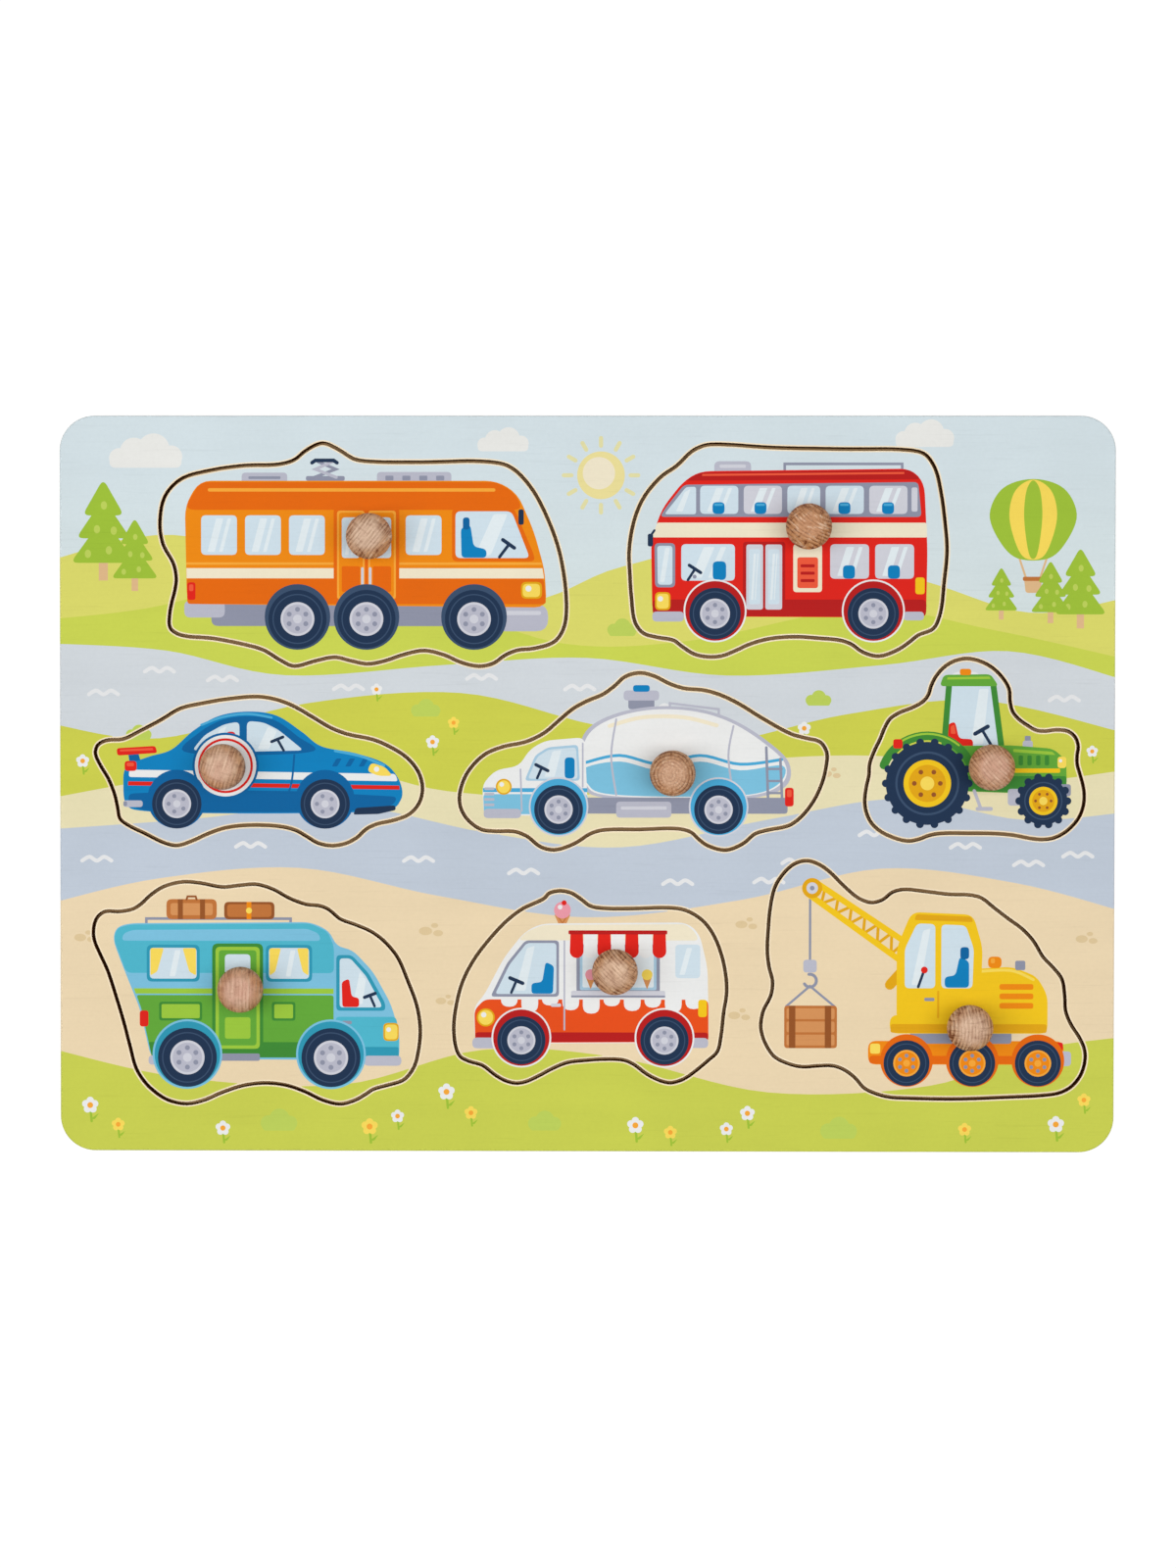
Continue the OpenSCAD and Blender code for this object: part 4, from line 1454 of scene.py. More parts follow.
@dataclass
class Tram(VehiclePiece):
    """An orange tram with its pantograph up, driving to the right."""

    name: str = "tram"
    blank: Blank = Blank(50, 45, 10, 0.08, 0.75, 0.05)
    picture_scale: float = 0.965

    def paint(self) -> None:
        """Draws the tram."""
        pen = self.pen
        # Roof: pantograph, boxes and cap
        pen.box(Ink.IRON, 41, 53.4, 52.5, 54.8, 0.6)
        pen.line(Ink.IRON, 0.9, 43.5, 54.4, 49.8, 56.8, 44.6, 59)
        pen.line(Ink.STEEL, 0.9, 50, 54.4, 43.8, 56.8, 48.8, 59)
        pen.line(Ink.NAVY, 1.1, 42.8, 58.7, 43.8, 59.4, 49.2, 59.4, 50.2, 58.7)
        pen.box(Ink.STEEL, 22, 52, 35.5, 55.8, 1.2)
        pen.box(Ink.IRON, 24, 53.9, 33.5, 54.7, 0.3)
        pen.box(Ink.STEEL, 62, 52, 84, 56, 1.2)
        for left in (64.5, 69.5, 74.5, 79.5):
            pen.box(Ink.IRON, left, 53.5, left + 2.4, 54.9, 0.3)
        # Underframe and bumper
        pen.box(Ink.IRON, 13, 10.5, 104, 17, 2)
        pen.box(Ink.STEEL, 96, 9, 112.6, 17, 3.6)
        pen.box(Ink.TIN, 99, 13.8, 110.5, 15, 0.6)
        pen.box(Ink.STEEL, 5, 13, 17, 18, 1.8)
        # Body
        pen.shape(Ink.ORANGE, 3.6, 5.8, 17, 5.2, 46, 9.5, 53.4, 97.5, 53.4, 103.6, 49.6, 108.4, 38.5, 111.6, 27,
            112.2, 16)
        pen.shape(Ink.RUST, 2.2, 6.3, 44.8, 5.7, 46.5, 9.8, 53, 97.4, 53, 102.4, 50, 104.6, 46.4, 104, 44.8)
        pen.box(Ink.PEACH, 12, 50.2, 97, 51.2, 0.5)
        # Side panels under the windows
        pen.shape(Ink.RUST, 1, 5.9, 17, 5.7, 24.5, 111.3, 24.5, 112, 17)
        pen.shape(Ink.CREAM, 0, 5.7, 24.6, 5.65, 27.6, 110.9, 27.6, 111.4, 24.6)
        pen.shape(Ink.PEACH, 0, 5.6, 28.6, 5.6, 29.3, 110.6, 29.3, 110.8, 28.6)
        # Windows
        for left in (10, 23, 36, 70.5):
            pen.pane(left, 31.5, left + 10.6, 43.2)
        # Double door, with the knob where its leaves meet
        pen.box(Ink.RUST, 49.2, 17.6, 68.6, 45.6, 1.4)
        for left in (50.2, 59.4):
            pen.box(Ink.PEACH, left, 18.4, left + 8.2, 44.6, 1)
            pen.box(Ink.ORANGE, left + 0.6, 19, left + 7.6, 44, 0.8)
            pen.pane(left + 1.4, 30.6, left + 6.8, 42.6)
            pen.box(Ink.RUST, left + 1.4, 20.6, left + 6.8, 28.2, 0.6)
        for x in (57.7, 60):
            pen.line(Ink.TIN, 0.8, x, 23, x, 27.5)
        # Driver's cab
        pen.shape(Ink.RUST, 1.6, 84.2, 29.6, 84.2, 45.4, 102.5, 45.4, 108.4, 31.6, 108.6, 29.6)
        pen.shape(Ink.GLASS, 1.6, 85.2, 30.6, 85.2, 44.4, 101.8, 44.4, 107.2, 30.6)
        pen.shape(Ink.GLINT, 0.8, 91, 31.4, 96.5, 43.6, 100.6, 43.6, 95.6, 31.4)
        pen.shape(Ink.BLUE, 1.2, 87, 30.7, 86.8, 39.5, 89.6, 40.5, 90.6, 34, 94.4, 33.2, 94.4, 30.7)
        pen.box(Ink.COBALT, 87.4, 39, 89.4, 42.6, 0.9)
        pen.line(Ink.NAVY, 0.9, 98.2, 30.9, 101, 34.6)
        pen.line(Ink.NAVY, 1.1, 99.2, 36, 102.6, 33.6)
        # Lamps and mirror
        pen.box(Ink.AMBER, 104.6, 18.6, 110.8, 23.6, 1.6)
        pen.box(Ink.LEMON, 105.1, 19.1, 110.2, 23, 1.3)
        pen.disc(Ink.WHITE, 106.8, 21.6, 0.9)
        pen.box(Ink.RED, 5.9, 18.2, 8.3, 23.4, 0.8)
        pen.box(Ink.CORAL, 6.4, 20.8, 7.7, 22.8, 0.5)
        pen.box(Ink.NAVY, 103.8, 40.4, 105.4, 45, 0.7)
        # Wheels in their arches
        wheels = (38.5, 58.9, 90.7)
        pen.discs(Ink.SLATE, *((x, 13.2, 9.7) for x in wheels))
        for x in wheels:
            pen.wheel(x, 12.6, 8.6)


@dataclass
class Bus(VehiclePiece):
    """A red double-deck bus, driving to the left."""

    name: str = "bus"
    blank: Blank = Blank(-35, 14, 30, 0.85, 0.95, 0.10)

    def paint(self) -> None:
        """Draws the bus."""
        pen = self.pen
        # Roof: vent and rail
        pen.box(Ink.STEEL, 23, 52, 34, 56.6, 1.6)
        pen.box(Ink.TIN, 24.6, 54.6, 32.4, 55.6, 0.4)
        pen.line(Ink.IRON, 0.8, 44, 53.8, 44, 55.8, 79, 55.8, 79, 53.8)
        # Body
        pen.shape(Ink.RED, 3.4, 4.6, 10.4, 4.2, 33, 7.4, 42.4, 13.6, 50.4, 18.6, 53.6, 81.6, 54.4, 85.6, 50.2,
            86.6, 30, 86.2, 10)
        pen.shape(Ink.WINE, 1.2, 14.4, 50.8, 18.8, 53.2, 81.4, 54, 84.6, 51.2)
        pen.shape(Ink.CORAL, 0, 19.4, 52.2, 19.4, 52.8, 79.6, 53.4, 79.6, 52.8)
        pen.shape(Ink.CREAM, 0.6, 4.5, 33.9, 6, 38.3, 86.3, 38.3, 86.5, 33.9)
        pen.shape(Ink.WINE, 1.6, 4.7, 10.6, 4.6, 15.4, 86.4, 15.4, 86.2, 10.2)
        # Upper deck
        pen.shape(Ink.IRON, 1.4, 6.8, 40, 8.6, 42.8, 14, 49.6, 83.8, 50.4, 84.8, 40)
        pen.shape(Ink.GLASS, 0.8, 8.2, 40.8, 9.4, 42.4, 14.6, 48.9, 17.6, 49, 17.6, 40.8)
        pen.shape(Ink.GLINT, 0.4, 11.6, 41.6, 14.2, 47.4, 16, 48.4, 13.6, 41.6)
        for left in (18.8, 31.8, 56.2, 69.2):
            pen.pane(left, 40.9, left + 11.4, 49.3, Ink.TIN if left in (31.8, 69.2) else Ink.GLASS)
        pen.pane(44.8, 40.9, 54.6, 49.3)
        pen.box(Ink.TIN, 81.8, 41.6, 83.6, 48.8, 0.6)
        # Seats that show over the sills
        for x in (22.5, 35, 60, 73):
            pen.box(Ink.BLUE, x, 40.9, x + 3.6, 44.4, 1.2)
            pen.box(Ink.AZURE, x + 0.5, 43.3, x + 3.1, 44, 0.3)
        # Lower deck: door, panes and the driver's window
        pen.shape(Ink.IRON, 1.4, 5.4, 19, 5.2, 32.2, 11.4, 32.2, 11.4, 19)
        pen.shape(Ink.GLASS, 1, 6.2, 19.8, 6, 31.4, 10.6, 31.4, 10.6, 19.8)
        pen.shape(Ink.GLINT, 0.4, 6.8, 20.6, 8.4, 30.8, 9.8, 30.8, 8.2, 20.6)
        pen.box(Ink.WINE, 31.6, 11.6, 44.2, 32.6, 1)
        for left in (32.6, 38.3):
            pen.box(Ink.TIN, left, 12.4, left + 5, 31.8, 0.8)
            pen.pane(left + 0.8, 14, left + 4.2, 30.4)
        pen.pane(13.2, 21, 29.2, 31.9)
        pen.disc(Ink.IRON, 17.2, 22.2, 0.6)
        pen.line(Ink.NAVY, 0.8, 15.2, 21.2, 17.4, 24.6)
        pen.line(Ink.NAVY, 1, 15.6, 25.6, 19, 23.4)
        pen.box(Ink.BLUE, 22.6, 21.2, 26.6, 26.8, 1.4)
        for left in (57.6, 71):
            pen.pane(left, 21.6, left + 11.6, 31.9, Ink.TIN)
            pen.box(Ink.BLUE, left + 3.8, 21.6, left + 7.4, 25.6, 1.2)
        # Cream panel behind the knob and a rear hatch
        pen.box(Ink.CREAM, 46.6, 17.6, 55.2, 31.9, 1)
        pen.box(Ink.CORAL, 47.8, 18.8, 54, 28, 0.8)
        for high in (20.6, 22.8, 25):
            pen.box(Ink.WINE, 48.8, high, 53, high + 0.9, 0.3)
        # Lamps, bumper and mirror
        pen.box(Ink.AMBER, 5.4, 12.2, 10, 17.6, 1.4)
        pen.box(Ink.LEMON, 5.9, 12.7, 9.5, 17.1, 1.1)
        pen.disc(Ink.WHITE, 7, 15.6, 0.8)
        pen.box(Ink.YELLOW, 83, 17, 85.8, 22, 0.9)
        pen.box(Ink.STEEL, 4.6, 8.8, 14, 11.8, 1.3)
        pen.box(Ink.STEEL, 79.4, 9.2, 85.6, 11.8, 1.2)
        pen.line(Ink.NAVY, 0.7, 5.2, 36, 4.2, 34.6)
        pen.box(Ink.NAVY, 3.2, 31.2, 4.8, 35, 0.6)
        # Wheels in their arches
        for x in (23.3, 70.5):
            pen.disc(Ink.WHITE, x, 12, 9.4)
            pen.disc(Ink.WINE, x, 12, 8.9)
            pen.wheel(x, 11.2, 7.7)


@dataclass
class RacingCar(VehiclePiece):
    """A blue racing car with a rear wing, driving to the right."""

    name: str = "racing_car"
    blank: Blank = Blank(72, 32, 50, 0.15, 0.55, 0.45)

    def paint(self) -> None:
        """Draws the racing car."""
        pen = self.pen
        # Wing
        pen.shape(Ink.COBALT, 0.6, 9, 20, 8, 27, 11, 27, 13, 20)
        pen.shape(Ink.RED, 0.8, 4.8, 25.8, 4.6, 28, 16.2, 28.7, 16.8, 26.6)
        pen.shape(Ink.CORAL, 0, 5.6, 27, 5.6, 27.6, 15.4, 28.1, 15.6, 27.4)
        # Body
        pen.blob(Ink.BLUE, 7.6, 11, 6.6, 17, 7.6, 22.5, 14, 25.4, 21, 27.6, 27.5, 33.2, 35, 37.6, 44, 39, 52.5, 37.8,
            60, 33, 66, 28.6, 76, 26.6, 85, 23.4, 89.4, 18, 89.6, 12.5, 84, 9.4, 60, 8.6, 30, 8.6, 13, 9.2)
        pen.shape(Ink.COBALT, 1.6, 8.4, 10.8, 8, 14.4, 30, 15.6, 60, 15.2, 88.6, 13.6, 87.6, 11.2, 82, 9.6, 60, 8.9,
            30, 8.9, 13, 9.4)
        # Canopy
        pen.blob(Ink.COBALT, 24.8, 27, 29.2, 32.6, 36.5, 36.6, 44.5, 37.6, 52, 36.4, 58.8, 31.6, 63.6, 27.2, 44, 26)
        pen.shape(Ink.GLASS, 1.6, 27.2, 27.4, 31, 32, 36.8, 35.2, 41.4, 36, 41.4, 27)
        pen.shape(Ink.GLASS, 1.6, 43.6, 27, 43.6, 36.2, 48.5, 35.8, 53, 33.6, 60.6, 27.4)
        pen.shape(Ink.GLINT, 0.5, 46.8, 27.8, 50, 34.6, 52.6, 33.2, 50.2, 27.8)
        pen.shape(Ink.GLINT, 0.5, 32.8, 28, 35.6, 33.8, 37.6, 34.6, 34.8, 28)
        pen.box(Ink.RED, 37.4, 27.1, 40.2, 33, 1.2)
        pen.line(Ink.NAVY, 0.8, 54.6, 27.4, 52.8, 30.6)
        pen.line(Ink.NAVY, 0.9, 51, 30, 54.4, 31.4)
        # White band and roundel round the knob, air scoop and door line
        pen.shape(Ink.WHITE, 0.8, 8.2, 19.4, 8.4, 21.6, 88, 20.4, 88.8, 18.2)
        pen.shape(Ink.RED, 0, 8, 16.9, 8.1, 18.1, 89.2, 16.9, 89.3, 15.7)
        pen.disc(Ink.COBALT, 37.2, 22.8, 9.9)
        pen.disc(Ink.WHITE, 37.2, 22.8, 9.2)
        pen.disc(Ink.RED, 37.2, 22.8, 8.2)
        pen.disc(Ink.WHITE, 37.2, 22.8, 7.5)
        for i in range(3):
            pen.shape(Ink.COBALT, 0.4, 69 + 4 * i, 22.6, 70.4 + 4 * i, 25, 72 + 4 * i, 25, 70.6 + 4 * i, 22.6)
        pen.curve(Ink.COBALT, 0.6, 54, 10.6, 56.8, 17, 57.8, 26)
        pen.curve(Ink.AZURE, 0.8, 70, 27.3, 78, 25.6, 84.6, 22.9)
        pen.curve(Ink.AZURE, 0.7, 30, 35, 36.5, 37.4, 44, 38.3, 51, 37.2)
        # Lamps, exhaust and splitter
        pen.shape(Ink.LEMON, 1.2, 79.6, 21.2, 80.8, 23.8, 85, 22.4, 87.2, 19.8, 83, 19.8)
        pen.disc(Ink.WHITE, 82.4, 21.8, 0.8)
        pen.box(Ink.RED, 7, 21.2, 10.6, 24.2, 1)
        pen.box(Ink.CORAL, 7.6, 22.6, 9.8, 23.7, 0.5)
        pen.box(Ink.STEEL, 6.6, 10.4, 12.4, 12.4, 0.9)
        pen.box(Ink.IRON, 6.6, 10.7, 7.7, 12.1, 0.4)
        pen.shape(Ink.NAVY, 0.7, 75.4, 8.2, 76.2, 10.2, 88, 11, 88.2, 9.6, 83, 8.4)
        # Wheels in their arches
        for x in (22.6, 67):
            pen.disc(Ink.COBALT, x, 12.8, 8.8)
            pen.wheel(x, 11.4, 7.4, holes=5)


@dataclass
class MilkTanker(VehiclePiece):
    """A white and light blue milk tanker, driving to the left."""

    name: str = "milk_tanker"
    blank: Blank = Blank(90, 0.3, 70, 0.55, 0.75, 0.15)

    def paint(self) -> None:
        """Draws the milk tanker."""
        pen = self.pen
        # Tank
        pen.box(Ink.IRON, 47.6, 41, 55.4, 44.4, 0.8)
        pen.box(Ink.STEEL, 46.2, 43.6, 56.8, 46.6, 1.2)
        pen.box(Ink.BLUE, 49, 46.2, 54, 48.2, 0.9)
        pen.line(Ink.STEEL, 0.7, 60, 40, 60, 42.8, 74.6, 41, 74.6, 37.8)
        pen.blob(Ink.STEEL, 32.5, 26, 35, 34.5, 43, 39.4, 55, 41.8, 68, 41.2, 79, 37.8, 89, 31.6, 95.6, 25, 94.6, 18,
            84, 14.4, 60, 13.6, 40, 14.6, 34, 18)
        pen.blob(Ink.WHITE, 33.4, 26, 36, 33.8, 43.6, 38.5, 55.2, 40.9, 67.8, 40.3, 78.4, 37, 88, 31, 94.4, 24.8,
            93.4, 18.8, 83.6, 15.2, 60, 14.5, 40.4, 15.4, 35, 18.6)
        pen.blob(Ink.SKY_BLUE, 34.2, 23.2, 45, 25.4, 57, 22.8, 69, 25.4, 81, 22.8, 93.6, 24.2, 92.8, 19, 83.6, 15.5,
            60, 14.9, 40.6, 15.8, 35.4, 18.8)
        pen.curve(Ink.AZURE, 0.9, 34.6, 25, 45, 27.2, 57, 24.6, 69, 27.2, 81, 24.6, 93.4, 26)
        pen.curve(Ink.CREAM, 1.2, 42, 36, 52, 38.6, 64, 38.6, 74, 36.2)
        # Seams where the tank's rings meet
        for x in (44, 79):
            pen.curve(Ink.STEEL, 0.6, x, 15.4, x - 1.5, 27, x, 38 if x < 60 else 36)
        # Ladder at the back
        pen.line(Ink.IRON, 0.8, 89.4, 13, 88.8, 29.6)
        pen.line(Ink.IRON, 0.8, 93.6, 13, 93, 26.2)
        for high in (16, 19.6, 23.2):
            pen.line(Ink.IRON, 0.7, 89.2, high, 93.4, high)
        # Chassis, tail lamp and mudguards
        pen.box(Ink.IRON, 30, 9.8, 95.2, 14.6, 1)
        pen.box(Ink.STEEL, 44, 8.6, 60.5, 13.4, 1.2)
        pen.box(Ink.TIN, 45.4, 11, 59.1, 12, 0.4)
        pen.box(Ink.RED, 94.4, 12, 97, 17.6, 0.9)
        pen.box(Ink.CORAL, 95, 14.8, 96.4, 17, 0.5)
        # Cab with its bonnet
        pen.shape(Ink.WHITE, 2.4, 4.4, 9.2, 4, 18.6, 8, 22.8, 15, 24, 18.2, 29, 22.8, 31.6, 34.6, 32.6, 35.6, 9.2)
        pen.shape(Ink.SKY_BLUE, 1, 4.5, 9.6, 4.3, 15.6, 35.4, 15.6, 35.6, 9.6)
        pen.shape(Ink.AZURE, 0, 4.25, 16.2, 4.2, 17.4, 35.4, 17.4, 35.4, 16.2)
        pen.shape(Ink.ICE, 1.2, 16.6, 19.6, 19.8, 27.2, 23.6, 29.6, 32.6, 30.4, 33.2, 19.6)
        pen.shape(Ink.GLASS, 1, 17.6, 20.2, 20.5, 26.8, 23.8, 28.9, 32, 29.6, 32.5, 20.2)
        pen.shape(Ink.GLINT, 0.4, 22.6, 20.8, 25, 28.4, 27.6, 28.8, 25.6, 20.8)
        pen.box(Ink.BLUE, 28.6, 20.3, 31.6, 26.6, 1.2)
        pen.line(Ink.NAVY, 0.8, 20.4, 20.4, 21.8, 23.6)
        pen.line(Ink.NAVY, 1, 20, 24.4, 23.6, 22.6)
        pen.line(Ink.STEEL, 0.5, 15.8, 10.6, 15.4, 23)
        pen.line(Ink.STEEL, 0.5, 34, 17.8, 34, 30.8)
        pen.box(Ink.IRON, 29.4, 17.9, 32.4, 18.9, 0.4)
        # Grille, lamp and bumper
        for high in (12, 13.6, 15.2, 16.8):
            pen.box(Ink.STEEL, 4.6, high, 7.6, high + 0.8, 0.3)
        pen.disc(Ink.AMBER, 10.4, 17.8, 2.4)
        pen.disc(Ink.LEMON, 10.4, 17.8, 1.9)
        pen.disc(Ink.WHITE, 9.8, 18.5, 0.7)
        pen.box(Ink.STEEL, 4.4, 8.4, 15.6, 11.2, 1.3)
        # Wheels in their arches
        for x in (26.8, 74.6):
            pen.disc(Ink.TIN, x, 11.8, 8.9)
            pen.disc(Ink.AZURE, x, 11.8, 8.4)
            pen.wheel(x, 11, 7.3)


@dataclass
class Tractor(VehiclePiece):
    """A green tractor, driving to the right."""

    name: str = "tractor"
    blank: Blank = Blank(-50, 20, 90, 0.30, 0.60, 0.75)

    def paint(self) -> None:
        """Draws the tractor."""
        pen = self.pen
        # Exhaust and cab
        pen.box(Ink.IRON, 46, 26, 47.8, 30.4, 0.4)
        pen.box(Ink.STEEL, 45.4, 26, 48.4, 29, 0.8)
        pen.shape(Ink.GLASS, 0.8, 21.6, 26, 23.2, 45.5, 36.6, 45.5, 39.4, 26)
        pen.shape(Ink.GLINT, 0.5, 30, 28, 32.4, 44.4, 35.2, 44.4, 33.6, 28)
        pen.shape(Ink.RED, 1.2, 23.4, 26, 22.8, 33.6, 25.2, 34.8, 26.4, 29.6, 30.6, 29.4, 30.6, 26)
        pen.shape(Ink.CORAL, 0.4, 24, 31, 23.9, 33.2, 25, 33.8, 25.5, 31)
        pen.line(Ink.NAVY, 0.9, 36.4, 27, 33.4, 32)
        pen.line(Ink.NAVY, 1.2, 31.2, 31, 35, 33.2)
        pen.line(Ink.PINE, 1.8, 21.9, 26, 23.4, 45.6)
        pen.line(Ink.PINE, 1.8, 39.2, 26, 36.6, 45.6)
        pen.shape(Ink.GREEN, 1.3, 20.6, 45.2, 21.8, 48.6, 35.8, 48.8, 38.2, 45.2)
        pen.shape(Ink.LIME, 0, 22.8, 47.2, 23, 47.9, 35.4, 48.1, 35.8, 47.4)
        pen.box(Ink.ORANGE, 26.6, 48.5, 30, 50.4, 0.8)
        # Engine hood
        pen.shape(Ink.GREEN, 2, 24, 14, 24, 27.4, 42, 27.6, 54.6, 26.6, 58.4, 23, 58.6, 15, 52, 13)
        pen.shape(Ink.PINE, 0.8, 24.2, 14.2, 24.2, 18.4, 58.5, 18.4, 58.5, 15.1, 52, 13.2)
        pen.shape(Ink.LIME, 0.3, 42.6, 25.6, 42.6, 26.5, 54.2, 25.7, 55.2, 24.7)
        pen.box(Ink.YELLOW, 42.2, 19.4, 56.6, 20.7, 0.5)
        for left in (44.2, 46.8, 49.4, 52):
            pen.box(Ink.PINE, left, 21.6, left + 1.3, 24.6, 0.5)
        pen.box(Ink.LEMON, 55.8, 20.8, 58.4, 24.2, 0.9)
        pen.disc(Ink.WHITE, 56.7, 23, 0.5)
        pen.box(Ink.STEEL, 41, 9.6, 51, 14.6, 1)
        pen.box(Ink.IRON, 55.6, 12.4, 59.8, 16, 0.8)
        pen.line(Ink.STEEL, 1.2, 32, 8.6, 36, 8.6)
        pen.line(Ink.STEEL, 1, 33, 8.6, 31, 14)
        # Wheels, and the mudguard over the large one
        pen.stroke(Ink.PINE, 2.6, arc(17, 16.4, 14, 20, 158, 18))
        pen.stroke(Ink.LIME, 0.6, arc(17, 16.4, 14.6, 50, 130, 12))
        pen.field_wheel(17, 16.2, 12.9, 18)
        pen.field_wheel(51.6, 11, 7.7, 14)
        pen.box(Ink.RED, 6.8, 26.6, 9.6, 29.4, 0.8)


@dataclass
class Camper(VehiclePiece):
    """A green and turquoise motor home with luggage on its roof, driving to the right."""

    name: str = "camper"
    blank: Blank = Blank(90, 60, 110, 0.12, 0.50, 0.80)
    picture_scale: float = 0.96

    def paint(self) -> None:
        """Draws the camper."""
        pen = self.pen
        # Luggage on the roof rack
        pen.line(Ink.IRON, 0.8, 14, 51, 14, 53.8, 57, 53.8, 57, 51)
        pen.box(Ink.BROWN, 20, 53.6, 35, 59.6, 1.6)
        pen.box(Ink.TAN, 21.2, 54.8, 33.8, 58.4, 0.8)
        for left in (23.4, 30):
            pen.box(Ink.UMBER, left, 53.6, left + 1.5, 59.6)
        pen.line(Ink.UMBER, 0.6, 26, 59.5, 26.3, 60.4, 28.7, 60.4, 29, 59.5)
        pen.box(Ink.UMBER, 37.2, 53.6, 52.2, 58.8, 1.4)
        pen.box(Ink.BROWN, 38.1, 54.3, 51.3, 58.1, 1)
        pen.box(Ink.ORANGE, 43.9, 53.6, 45.3, 58.8)
        pen.disc(Ink.LEMON, 44.6, 56.2, 0.9)
        # Body
        pen.shape(Ink.SKY_BLUE, 2.6, 15.4, 12, 12, 27, 6.4, 41, 4, 47.6, 5, 51.2, 9, 52.4, 63, 52.8, 68.6, 50.2,
            70.6, 45.6, 75.4, 44.6, 81.6, 38, 86.8, 28.6, 89.4, 20, 89.4, 11.6)
        pen.shape(Ink.TEAL, 1.6, 8, 37.6, 6.7, 41.2, 4.3, 47.6, 5.2, 50.9, 9.2, 52, 62.8, 52.4, 68, 50, 69.9, 45.6,
            69.9, 37.6)
        pen.shape(Ink.SKY_BLUE, 1.2, 6.6, 47.2, 7.2, 49.4, 10, 50.4, 62, 50.8, 65.4, 49.4, 66, 47.2)
        pen.shape(Ink.GREEN, 0.8, 15.6, 12.4, 12.4, 27.2, 11, 31, 69.8, 31, 69.8, 12.4)
        pen.shape(Ink.PINE, 0.6, 15.6, 12.4, 14.6, 17, 69.8, 17, 69.8, 12.4)
        pen.shape(Ink.LIME, 0, 10.8, 31.4, 10.2, 33, 69.8, 33, 69.8, 31.4)
        # Windows with curtains
        for left, right in ((15, 29), (50.5, 62.5)):
            pen.box(Ink.PETROL, left - 0.9, 35, right + 0.9, 46, 1.6)
            pen.box(Ink.GLASS, left, 35.9, right, 45.1, 1.2)
            wide = right - left
            pen.shape(Ink.GLINT, 0.3, left + wide * 0.42, 36.6, left + wide * 0.54, 44.4, left + wide * 0.66, 44.4,
                left + wide * 0.54, 36.6)
            pen.shape(Ink.LEMON, 0.6, left + 0.2, 45, left + 0.2, 36.8, left + wide * 0.16, 38, left + wide * 0.30, 45)
            pen.shape(Ink.LEMON, 0.6, right - 0.2, 45, right - 0.2, 36.8, right - wide * 0.16, 38,
                right - wide * 0.30, 45)
        # Door with the knob on it
        pen.box(Ink.PINE, 33.6, 14, 48.8, 46.4, 1.8)
        pen.box(Ink.LIME, 34.6, 15, 47.8, 45.4, 1.4)
        pen.box(Ink.GREEN, 35.6, 16, 46.8, 44.4, 1)
        pen.box(Ink.GLASS, 37.4, 37, 45, 43.2, 1.2)
        pen.box(Ink.LIME, 37.4, 18, 45, 24.4, 0.8)
        pen.box(Ink.IRON, 34.6, 11.4, 47.8, 13.6, 0.6)
        # Panels left and right of the door
        for left, right in ((17.8, 30.6), (51.4, 58.4)):
            pen.box(Ink.PINE, left, 23.4, right, 29, 0.8)
            pen.box(Ink.LIME, left + 0.7, 24.1, right - 0.7, 28.3, 0.5)
        # Cab
        pen.shape(Ink.PETROL, 1.2, 70.6, 26.4, 70.6, 43, 75.2, 43, 80.2, 37.6, 85.2, 28.6, 85.2, 26.4)
        pen.shape(Ink.GLASS, 1, 71.6, 27.4, 71.6, 42, 74.8, 42, 79.4, 36.8, 84, 28.4, 84, 27.4)
        pen.shape(Ink.GLINT, 0.4, 75.6, 28.4, 77.6, 38, 79.4, 35.6, 78.4, 28.4)
        pen.shape(Ink.RED, 0.9, 72.4, 27.5, 72.2, 35, 74.4, 36, 75.2, 30.6, 77.4, 30.2, 77.4, 27.5)
        pen.line(Ink.NAVY, 0.8, 82, 27.8, 80.6, 31)
        pen.line(Ink.NAVY, 1, 79, 30.4, 82.2, 31.6)
        pen.shape(Ink.TEAL, 1.2, 70.4, 12.4, 70.4, 24.6, 88.4, 24.6, 89.2, 20, 89.2, 12.4)
        pen.shape(Ink.PETROL, 0.6, 70.4, 12.4, 70.4, 15.6, 89.2, 15.6, 89.2, 12.4)
        pen.box(Ink.IRON, 72.2, 22.4, 75.2, 23.4, 0.4)
        pen.box(Ink.AMBER, 84.6, 17.4, 89.2, 22.8, 1.4)
        pen.box(Ink.LEMON, 85.1, 17.9, 88.8, 22.3, 1.1)
        pen.disc(Ink.WHITE, 86.2, 20.8, 0.7)
        pen.box(Ink.RED, 12, 21.6, 14.6, 26.4, 0.9)
        pen.box(Ink.STEEL, 78.8, 10, 90, 13, 1.4)
        pen.box(Ink.STEEL, 14.6, 10.2, 19.6, 13, 1.2)
        # Wheels in their arches
        for x in (26.2, 69):
            pen.disc(Ink.SKY_BLUE, x, 13.4, 10.4)
            pen.disc(Ink.PETROL, x, 13.4, 9.8)
            pen.wheel(x, 12.4, 8.8)


